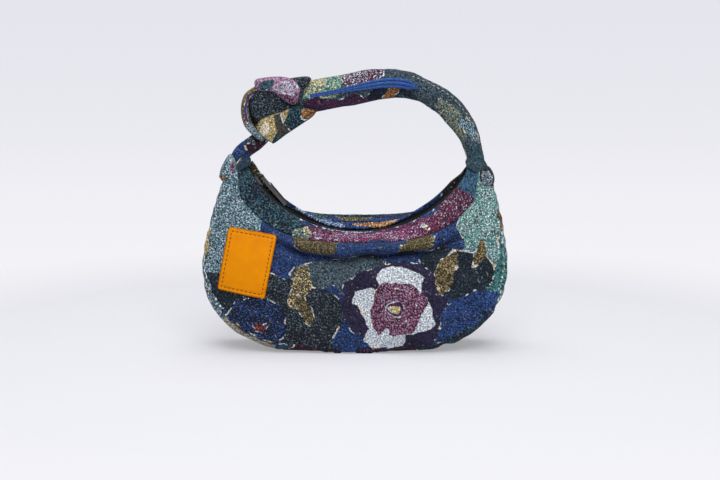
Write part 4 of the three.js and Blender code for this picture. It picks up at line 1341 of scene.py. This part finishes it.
def rounded_copy(node, name, material, body, width):
    """A copy of a CAD piece with its sharp edges rounded."""
    bm = bmesh.new()
    bm.from_mesh(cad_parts[node].data)
    weld(bm)
    shared = [e for e in bm.edges if len(e.link_faces) == 2]
    flat = [e for e in shared if e.calc_face_angle() < FLAT_ANGLE]
    bmesh.ops.dissolve_edges(bm, edges=flat, use_verts=True)
    shared = [e for e in bm.edges if len(e.link_faces) == 2]
    sharp = [e for e in shared if e.calc_face_angle() > SHARP_ANGLE]
    bmesh.ops.bevel(bm, geom=sharp, offset=width * MM, offset_type="OFFSET", affect="EDGES",
                    segments=2, profile=0.5, material=-1, clamp_overlap=True)
    return finish_mesh(name, bm, material, body, [node], False)


STOP_EDGE = 0.2
SLIDER_EDGE = 0.25
PULL_EDGE = 0.35
PULL_DOME = 1.2
# The ridge on the pull: height, share of the pull's width, sinking, and its ends along the pull
PULL_RIDGE = 1.5
PULL_RIDGE_WIDTH = 0.62
PULL_RIDGE_SUNK = 0.2
PULL_EYE_END = 0.24
PULL_RIDGE_END = 0.96


def make_zip():
    for node in ("front_zip_teeth", "back_zip_teeth"):
        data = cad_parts[node].data
        data.materials.clear()
        data.materials.append(nylon)
    for node in ("front_top_stop", "back_top_stop", "bottom_stop"):
        rounded_copy(node, node + "_moulded", nylon, "bag", STOP_EDGE)
    rounded_copy("slider_body", "slider_casting", gloss, "slider", SLIDER_EDGE)
    rounded_copy("slider_bridge", "slider_loop", gloss, "slider", SLIDER_EDGE)
    make_pull()


def make_pull():
    """The pull's plate, domed on top, with a ridge along it past its eye."""
    pull = rounded_copy("pull_tab", "pull_plate", gloss, "pull", PULL_EDGE)
    places = [v.co.copy() for v in pull.data.vertices]
    flat = [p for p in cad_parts["pull_tab"].data.polygons if abs(p.normal.y) < 0.5]
    out = max(flat, key=lambda p: p.area).normal.copy()
    out = out if out.z > 0 else -out
    reach = [p.dot(out) for p in places]
    for vert, far in zip(pull.data.vertices, reach):
        share = (far - min(reach)) / (max(reach) - min(reach))
        vert.co += out * (PULL_DOME * MM * smooth(share))
    along = out.cross(DEPTH)
    along = along if along.x > 0 else -along
    steps = [p.dot(along) for p in places]
    half_width = PULL_RIDGE_WIDTH * max(abs(p.y) for p in places)
    length = max(steps) - min(steps)
    foot = along * min(steps) + out * (max(reach) + (PULL_DOME - PULL_RIDGE_SUNK) * MM)

    def ridge(u, turn):
        taper = max(0.0, 1 - abs(2 * u - 1) ** 6) ** 0.5
        head = 1 + 0.25 * hump(u, 0.1, 0.06)
        spot = foot + along * (length * lerp(PULL_EYE_END, PULL_RIDGE_END, u))
        rise = out * (PULL_RIDGE * MM * head * taper * sin(turn))
        return (spot + rise + DEPTH * (half_width * taper * cos(turn))) / MM

    bm = tube(48, 24, ridge, length / MM, girth=12)
    finish_mesh("pull_ridge", bm, gloss, "pull", None)


# Strap

STRAP_TURNS = (0.35, 0.75, 1.15, pi / 2)
OUT_OF_KNOT = Vector((cos(STRAP_ENTRY), 0, sin(STRAP_ENTRY)))


def strap_points():
    points = [RIGHT_PIVOT + Vector((1, 0, -12)), RIGHT_PIVOT]
    for turn in STRAP_TURNS:
        lean = STRAP_LEAN * sin(turn)
        inward = (STRAP_SHOULDER - STRAP_LEAN) * (1 - cos(turn))
        height = lerp(RIGHT_PIVOT.z, STRAP_APEX, sin(turn))
        points.append(Vector((RIGHT_PIVOT.x - lean - inward, 0, height)))
    return points + [KNOT_ENTRY + OUT_OF_KNOT * 25, KNOT_ENTRY, KNOT_ENTRY - OUT_OF_KNOT * 14]


STRAP = Path(strap_points(), 161)
STRAP_HALF_WIDTHS = (6.5, 7.2, 9.0, 10.4, 10.2, 9.8, 11.0, 12.6, 13.2, 13.2, 13.0, 12.6)
STRAP_HALF_DEPTHS = (5.2, 7.3)


def strap_size(share):
    """Half width in the plane of the strap's arch, and half depth."""
    half_depth = lerp(*STRAP_HALF_DEPTHS, smooth((share - 0.04) / 0.26))
    return pick(STRAP_HALF_WIDTHS, share), half_depth


def strap_offset(share, turn):
    """Place on the strap's section: a ridge runs along the front of its upper stretch."""
    half_width, half_depth = strap_size(share)
    ridge = smooth((share - 0.4) / 0.14)
    a = cos(turn)
    rounded_depth = signed_power(sin(turn), 0.75)
    depth = half_depth * rounded_depth
    if depth < 0:
        peak = max(0.0, 1 - abs(a + 0.05) / 1.1)
        depth = -half_depth * lerp(-rounded_depth, 0.25 * -rounded_depth + 0.85 * peak, ridge)
    return half_width * a, depth


# The strap's crinkles: height, waves along it and round it; and the cloth's pull at its root
STRAP_CRINKLES = ((0.8, 16, 1.6), (0.35, 40, 3))
ROOT_PULL, ROOT_PULL_END = 0.8, 0.2


def strap_point(u, turn):
    spot, side = STRAP.at(u)
    across, depth = strap_offset(u, turn)
    c, s = cos(turn), sin(turn)
    crinkle = 0.0
    for high, along, around in STRAP_CRINKLES:
        crinkle += high * noise.noise(Vector((u * along, around * c, around * s)))
    pull = ROOT_PULL * smooth((ROOT_PULL_END - u) / ROOT_PULL_END) * cos(5 * turn)
    return spot - side * (across + c * (crinkle + pull)) + DEPTH * (depth + s * crinkle)


def make_strap():
    bm = tube(160, 40, strap_point, STRAP.length, girth=66)
    strap = finish_mesh("padded_strap", bm, strap_tapestry, None, None)
    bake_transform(strap)
    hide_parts("strap_run")


RIDGE_START = 0.47
RIDGE_END = 0.95
RIDGE_LENGTH = STRAP.length * (RIDGE_END - RIDGE_START)
BAND_HALF_DEPTH = 1.2
# Cords on the band: spacing and girth by its height, how far out they lie, and their fuzz
CORD_ROWS = (("upper", 1), ("middle", 0), ("lower", -1))
CORD_SPACING = 0.68
CORD_GIRTH = 0.36
CORD_OUT = 1.1
CORD_FUZZ = 0.12


def ridge_height(u):
    return lerp(3.9, 1.5, smooth((u - 0.25) / 0.6)) * (0.25 + 0.75 * smooth(u / 0.12))


def on_ridge(u, shift):
    """A place on the strap's path, its side, and how far across and out its ridge lies, at a
    shift from the ridge's middle."""
    share = lerp(RIDGE_START, RIDGE_END, u)
    half_width, half_depth = strap_size(share)
    across = 0.06 * half_width + shift
    return *STRAP.at(share), across, -half_depth * (1.02 - 0.75 * abs(across) / half_width)


def band_point(u, turn):
    """A folded band along the strap's ridge, wide on the crown and narrow towards the knot."""
    spot, side, across, depth = on_ridge(u, ridge_height(u) * cos(turn))
    return spot + side * across + DEPTH * (depth + BAND_HALF_DEPTH * sin(turn))


def cord_point(u, turn, row):
    """One of three cords along the folded band."""
    tall = ridge_height(u)
    c, s = cos(turn), sin(turn)
    spot, side, across, depth = on_ridge(u, CORD_SPACING * tall * row)
    fuzz = 1 + CORD_FUZZ * noise.noise(Vector((u * 160, 2 * c, 2 * s + 7 * row)))
    girth = CORD_GIRTH * tall * fuzz
    return spot + side * (across + girth * c) + DEPTH * (depth - CORD_OUT + girth * s)


# The row of stitches on the strap: where it starts and ends, its turn round it, and its steps
TOPSTITCH_START, TOPSTITCH_END = 0.18, 0.52
TOPSTITCH_TURN = 2 * pi * 0.615
TOPSTITCH_STEPS = 400


def make_strap_edge():
    bm = tube(140, 28, band_point, RIDGE_LENGTH, girth=20)
    finish_mesh("strap_edge", bm, edge_cloth, "handle", None)
    for name, row in CORD_ROWS:
        bm = tube(200, 14, lambda u, turn: cord_point(u, turn, row), RIDGE_LENGTH, girth=8)
        finish_mesh("strap_cord_" + name, bm, cord_cloth, "handle", None)
    shares = [lerp(TOPSTITCH_START, TOPSTITCH_END, k / TOPSTITCH_STEPS)
              for k in range(TOPSTITCH_STEPS + 1)]
    points = [strap_point(share, TOPSTITCH_TURN) for share in shares]
    lifts = [(a - STRAP.at(share)[0]).normalized() for a, share in zip(points[:-1], shares)]
    stitch_line("strap_topstitch", points, lifts, pale_thread, "handle",
                STRAP_STITCH)


# Knot

RING_STEPS = 96
PAD_SHARPNESS = 0.62
PAD_CRINKLE = 0.5


def pad_mesh(outline, depth, slope, thick):
    """A puffed pad with a smooth outline in the plane of the strap, tilted by its slope."""
    ring = Path([(x, 0, z) for x, z in outline + outline[:1]], RING_STEPS + 1)
    middle = sum(ring.spots[:-1], Vector()) / RING_STEPS

    def place(u, v):
        reach = sin(pi * v) ** PAD_SHARPNESS
        spot = middle.lerp(pick(ring.spots, u), reach)
        crown = -cos(pi * v)
        tilt = slope[0] * (spot.x - middle.x) + slope[1] * (spot.z - middle.z)
        crinkle = PAD_CRINKLE * wrinkle(spot.x, spot.z, depth, 7) * reach
        spot.y = depth + tilt + thick * signed_power(crown, 0.8) + crinkle
        return spot

    bm = grid_sheet(RING_STEPS, 28, place, lambda u, v: (u * ring.length, v * 4 * thick))
    cloth = bm.loops.layers.uv["cloth"]
    for face in bm.faces:
        if abs(face.normal.y) > 0.6:
            for loop in face.loops:
                loop[cloth].uv = (loop.vert.co.x, loop.vert.co.z)
    weld(bm)
    bmesh.ops.recalc_face_normals(bm, faces=bm.faces[:])
    return bm


# Name, outline (x, z), depth, slope, thickness, material and node of each pad
KNOT_PADS = (
    ("knot_core",
     [(-80, 215), (-60, 218), (-40, 219), (-38, 202), (-52, 187), (-68, 177), (-82, 184),
      (-88, 199)],
     3.0, (0, 0), 11.0, slate_cloth, ["strap_knot"]),
    ("knot_corner",
     [(-59.4, 221.8), (-50.7, 223.8), (-39, 224.8), (-35.8, 221.8), (-40.8, 215.4), (-43.7, 206),
      (-49, 202), (-55, 208), (-59, 216)],
     -6.0, (0.05, 0.05), 5.5, slate_cloth, None),
    ("knot_face",
     [(-84, 213), (-74.6, 215.5), (-65, 213), (-57, 208), (-52, 202), (-56, 194), (-68, 189),
      (-79, 187), (-85, 196), (-86, 205)],
     -8.0, (0.06, -0.12), 5.0, slate_cloth, None),
    ("knot_gold_fold",
     [(-80, 186), (-77, 190.5), (-68, 193.8), (-59, 196.4), (-53.5, 198.4), (-58, 186.1),
      (-65, 173.2), (-68.1, 171.2), (-74, 175), (-80, 180)],
     -11.0, (-0.26, 0.06), 4.6, gold_cloth, None),
    ("knot_side_fold",
     [(-55, 202.5), (-43.7, 200), (-32.6, 197.2), (-34.5, 192.2), (-42, 187), (-55, 178.6),
      (-67.4, 170.6), (-63, 183)],
     -9.0, (0.34, 0.02), 5.0, facet_cloth, None),
    ("knot_top_band",
     [(-82, 220.4), (-79.8, 223), (-71.6, 224.4), (-62.3, 225), (-53, 223.6), (-46.6, 218.7),
      (-44.8, 212.3), (-48.5, 203), (-54, 203.6), (-61.2, 208.6), (-68.1, 213), (-76.9, 213.6),
      (-81, 215.8)],
     -11.5, (0.02, 0.14), 5.0, pink_cloth, None),
)


def make_knot():
    for name, outline, depth, slope, thick, material, nodes in KNOT_PADS:
        bm = pad_mesh(outline, depth, slope, thick)
        pad = finish_mesh(name, bm, material, "handle", nodes)


RIM = Path(
    [(-76, 0, 217), (-82.5, 0, 213), (-88, 0, 208), (-90, 0, 198), (-88, 0, 187), (-83, 0, 180),
     (-75, 0, 173)], 81)
RIM_HALF_WIDTH = 3.4
RIM_HALF_DEPTH = 14.5
RIM_BOXINESS = 0.6


def rim_point(u, turn):
    spot, side = RIM.at(u)
    ends = 0.55 + 0.45 * sin(pi * u) ** 0.5
    across = RIM_HALF_WIDTH * ends * signed_power(cos(turn), RIM_BOXINESS)
    depth = -1.0 + RIM_HALF_DEPTH * ends * signed_power(sin(turn), RIM_BOXINESS)
    return spot + side * across + DEPTH * depth


def make_rim():
    bm = tube(80, 28, rim_point, RIM.length, girth=70)
    rim = finish_mesh("knot_rim", bm, rim_cloth, "handle", None)


STUB = Path([(-97, 0, 150), (-93.7, 0, 160.7), (-89, 0, 165.5), (-80.9, 0, 171), (-72, 0, 180)], 61)
STUB_HALF_WIDTH = 6.8
STUB_HALF_DEPTH = 6.0
STUB_FOLD = 0.8
STUB_FLARE, STUB_FLARE_END = 2.2, 0.4


def stub_point(u, turn):
    spot, side = STUB.at(u)
    fold = STUB_FOLD * cos(3 * turn + 4 * u)
    flare = STUB_FLARE * smooth((STUB_FLARE_END - u) / STUB_FLARE_END)
    across = (STUB_HALF_WIDTH + flare + 0.4 * fold) * cos(turn)
    depth = (STUB_HALF_DEPTH + flare + fold) * sin(turn)
    return spot + side * across + DEPTH * depth


def make_stub():
    bm = tube(60, 28, stub_point, STUB.length, girth=38)
    stub = finish_mesh("strap_neck", bm, stub_cloth, None, None)
    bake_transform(stub)
    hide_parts("strap_stub")


# Horns

COLLAR_HALF = 11.2
COLLAR_OUT = 8.8
COLLAR_TOP_HALF_WIDTH, COLLAR_TOP_HALF_DEPTH = 5.6, 4.6
COLLAR_SWELL, COLLAR_FOLD = 1.6, 0.7


def collar_point(u, turn, angle, pivot, along):
    """Cloth gathered round the strap at a horn, from the body's end up into the strap."""
    c, s = cos(turn), sin(turn)
    power = lerp(0.7, 1.0, u)
    out = Vector((sin(angle), 0, -cos(angle)))
    base = on_body(angle * 0.985, ZIP_RADIUS + COLLAR_OUT, 0)
    low = base + out * (COLLAR_HALF * signed_power(c, power))
    low += DEPTH * (COLLAR_HALF * signed_power(s, power))
    aside = Vector((copysign(1, angle), 0, 0))
    tip = pivot - along
    top = tip + aside * (COLLAR_TOP_HALF_WIDTH * c) + DEPTH * (COLLAR_TOP_HALF_DEPTH * s)
    spot = low.lerp(top, smooth(u) * 0.3 + u * 0.7)
    swell = (COLLAR_SWELL + COLLAR_FOLD * cos(7 * turn)) * sin(pi * u)
    away = (spot - base.lerp(tip, u)).normalized()
    return spot + away * swell


HORN_COLLARS = (
    ("left", LEFT_HORN, LEFT_PIVOT, Vector((0.6, 0, 0.8)), left_horn_cloth),
    ("right", RIGHT_HORN, RIGHT_PIVOT, Vector((-0.1, 0, 1)), right_horn_cloth),
)
# Name, outline (x, z), depth, thickness and material
HORN_TABS = (
    ("left_horn_tab",
     [(-112, 142.5), (-110.4, 149.5), (-107, 156.2), (-102.8, 161.2), (-97.9, 156.2),
      (-97.1, 146.4), (-102, 139.7), (-108.7, 138.6)],
     -3.0, 11.0, left_tab_cloth),
    ("right_horn_tab",
     [(101.2, 141.5), (102.2, 148.5), (105.9, 152), (110.9, 150.2), (114.3, 143), (113.4, 136),
      (109, 132.2), (103.8, 134.4)],
     -6.0, 11.0, right_tab_cloth),
)


def make_collars():
    for name, angle, pivot, along, material in HORN_COLLARS:
        bm = tube(24, 56, lambda u, turn: collar_point(u, turn, angle, pivot, along),
                  length=18, girth=60)
        collar = finish_mesh(name + "_horn_collar", bm, material, "bag", [name + "_strap_root"])
    for name, outline, depth, thick, material in HORN_TABS:
        bm = pad_mesh(outline, depth, (0, 0), thick)
        tab = finish_mesh(name, bm, material, "bag", None)


# Studio

# Distances between which the paper's tone turns even, and the share of painted glow that the camera
# sees even near the bag, which lightens the bag's shadow on the paper
PAPER_NEAR, PAPER_FAR = 0.2, 0.6
NEAR_PAINTED_GLOW = 0.35


def studio_paper():
    """Pale paper, whose far part shows the camera an even tone and lights nothing. Near the bag a
    share of that glow is painted light over the real shading, which lightens the bag's shadow.
    """
    material, tree, shader = new_material("studio_paper")
    fill(tree, shader, {"Base Color": colour("d6d6dc"), "Roughness": 0.9})
    spot = put(tree, "TexCoord").outputs["Object"]
    parts = split(tree, spot)
    back = remap(tree, calc(tree, "ADD", parts[1], parts[2]), 0.2, 3.2, 0, 1)
    glow = put(tree, "Emission", {"Color": mix(tree, back, colour("f4f4f8"), colour("e4e4ec"))})
    distance = put(tree, "VectorMath", {0: spot}, operation="LENGTH").outputs[1]
    even = step_up(tree, distance, PAPER_NEAR, PAPER_FAR)
    # Painted light: even beside the bag the camera sees this share of glow, which lightens the
    # bag's shadow
    share = calc(tree, "MAXIMUM", even, NEAR_PAINTED_GLOW)
    seen = times(tree, share, put(tree, "LightPath").outputs["Is Camera Ray"])
    both = put(tree, "MixShader", {0: seen, 1: shader.outputs[0], 2: glow.outputs[0]})
    tree.links.new(both.outputs[0], tree.nodes["Material Output"].inputs[0])
    return material


# The paper in metres: half width, front edge, where it turns up, radius of the bend, and height
PAPER_HALF_WIDTH = 6
PAPER_FRONT = -4.0
PAPER_TURN = 2.0
PAPER_BEND = 1.2
PAPER_WALL = 4.0


def extrude(bm, edges, move):
    """Draws edges out by a move, and gives the new edges."""
    made = bmesh.ops.extrude_edge_only(bm, edges=edges)["geom"]
    bmesh.ops.translate(bm, verts=[g for g in made if isinstance(g, bmesh.types.BMVert)], vec=move)
    return [g for g in made if isinstance(g, bmesh.types.BMEdge)]


def make_stage():
    bm = bmesh.new()
    ends = [bm.verts.new((x, PAPER_FRONT, 0)) for x in (-PAPER_HALF_WIDTH, PAPER_HALF_WIDTH)]
    floor = extrude(bm, [bm.edges.new(ends)], (0, PAPER_TURN - PAPER_FRONT, 0))
    bend = bmesh.ops.spin(
        bm, geom=floor, axis=(1, 0, 0), cent=(0, PAPER_TURN, PAPER_BEND), angle=pi / 2,
        steps=20)["geom_last"]
    extrude(bm, [g for g in bend if isinstance(g, bmesh.types.BMEdge)], (0, 0, PAPER_WALL))
    sweep = finish_mesh("studio_sweep", bm, studio_paper(), None, None)


LIGHT_TARGET = Vector((0, 0, 0.1))


def aim(obj, place, target):
    obj.location = place
    obj.rotation_euler = (target - Vector(place)).to_track_quat("-Z", "Y").to_euler()
    bpy.context.collection.objects.link(obj)


def add_light(name, place, size, power):
    lamp = bpy.data.lights.new(name, "AREA")
    lamp.size = size
    lamp.energy = power
    aim(bpy.data.objects.new(name, lamp), place, LIGHT_TARGET)


def make_studio():
    make_stage()
    world = bpy.data.worlds.new("studio")
    world.use_nodes = True
    tree = world.node_tree
    back = tree.nodes["Background"]
    fill(tree, back, {"Color": (0.93, 0.94, 1.0, 1), "Strength": 0.33})
    seen = put(tree, "Background", {"Color": colour("f1f1f5")})
    camera_ray = put(tree, "LightPath").outputs["Is Camera Ray"]
    both = put(tree, "MixShader", {0: camera_ray, 1: back.outputs[0], 2: seen.outputs[0]})
    tree.links.new(both.outputs[0], tree.nodes["World Output"].inputs[0])
    bpy.context.scene.world = world
    add_light("softbox_top", (-0.05, 0.15, 1.5), size=1.2, power=14)
    add_light("softbox_front", (0.1, -1.25, 1.45), size=1.1, power=23)
    bpy.context.scene.view_settings.view_transform = "Standard"


# Camera: lens and sensor in millimetres, distances in metres
LENS = 85
SENSOR = 36
DISTANCE = 1.411
ELEVATION = radians(8)
AIM = Vector((0.004, 0, 0.0893))


def make_camera():
    data = bpy.data.cameras.new("photo_camera")
    data.lens = LENS
    data.sensor_width = SENSOR
    camera = bpy.data.objects.new("photo_camera", data)
    aim(camera, AIM + DISTANCE * Vector((0, -cos(ELEVATION), sin(ELEVATION))), AIM)
    bpy.context.scene.camera = camera


make_camera()
make_studio()
front_cloth = make_panels()
make_facings()
make_lining()
make_tapes()
make_facing_stitches()
make_patch(front_cloth)
make_zip()
make_strap()
make_strap_edge()
make_knot()
make_rim()
make_stub()
make_collars()
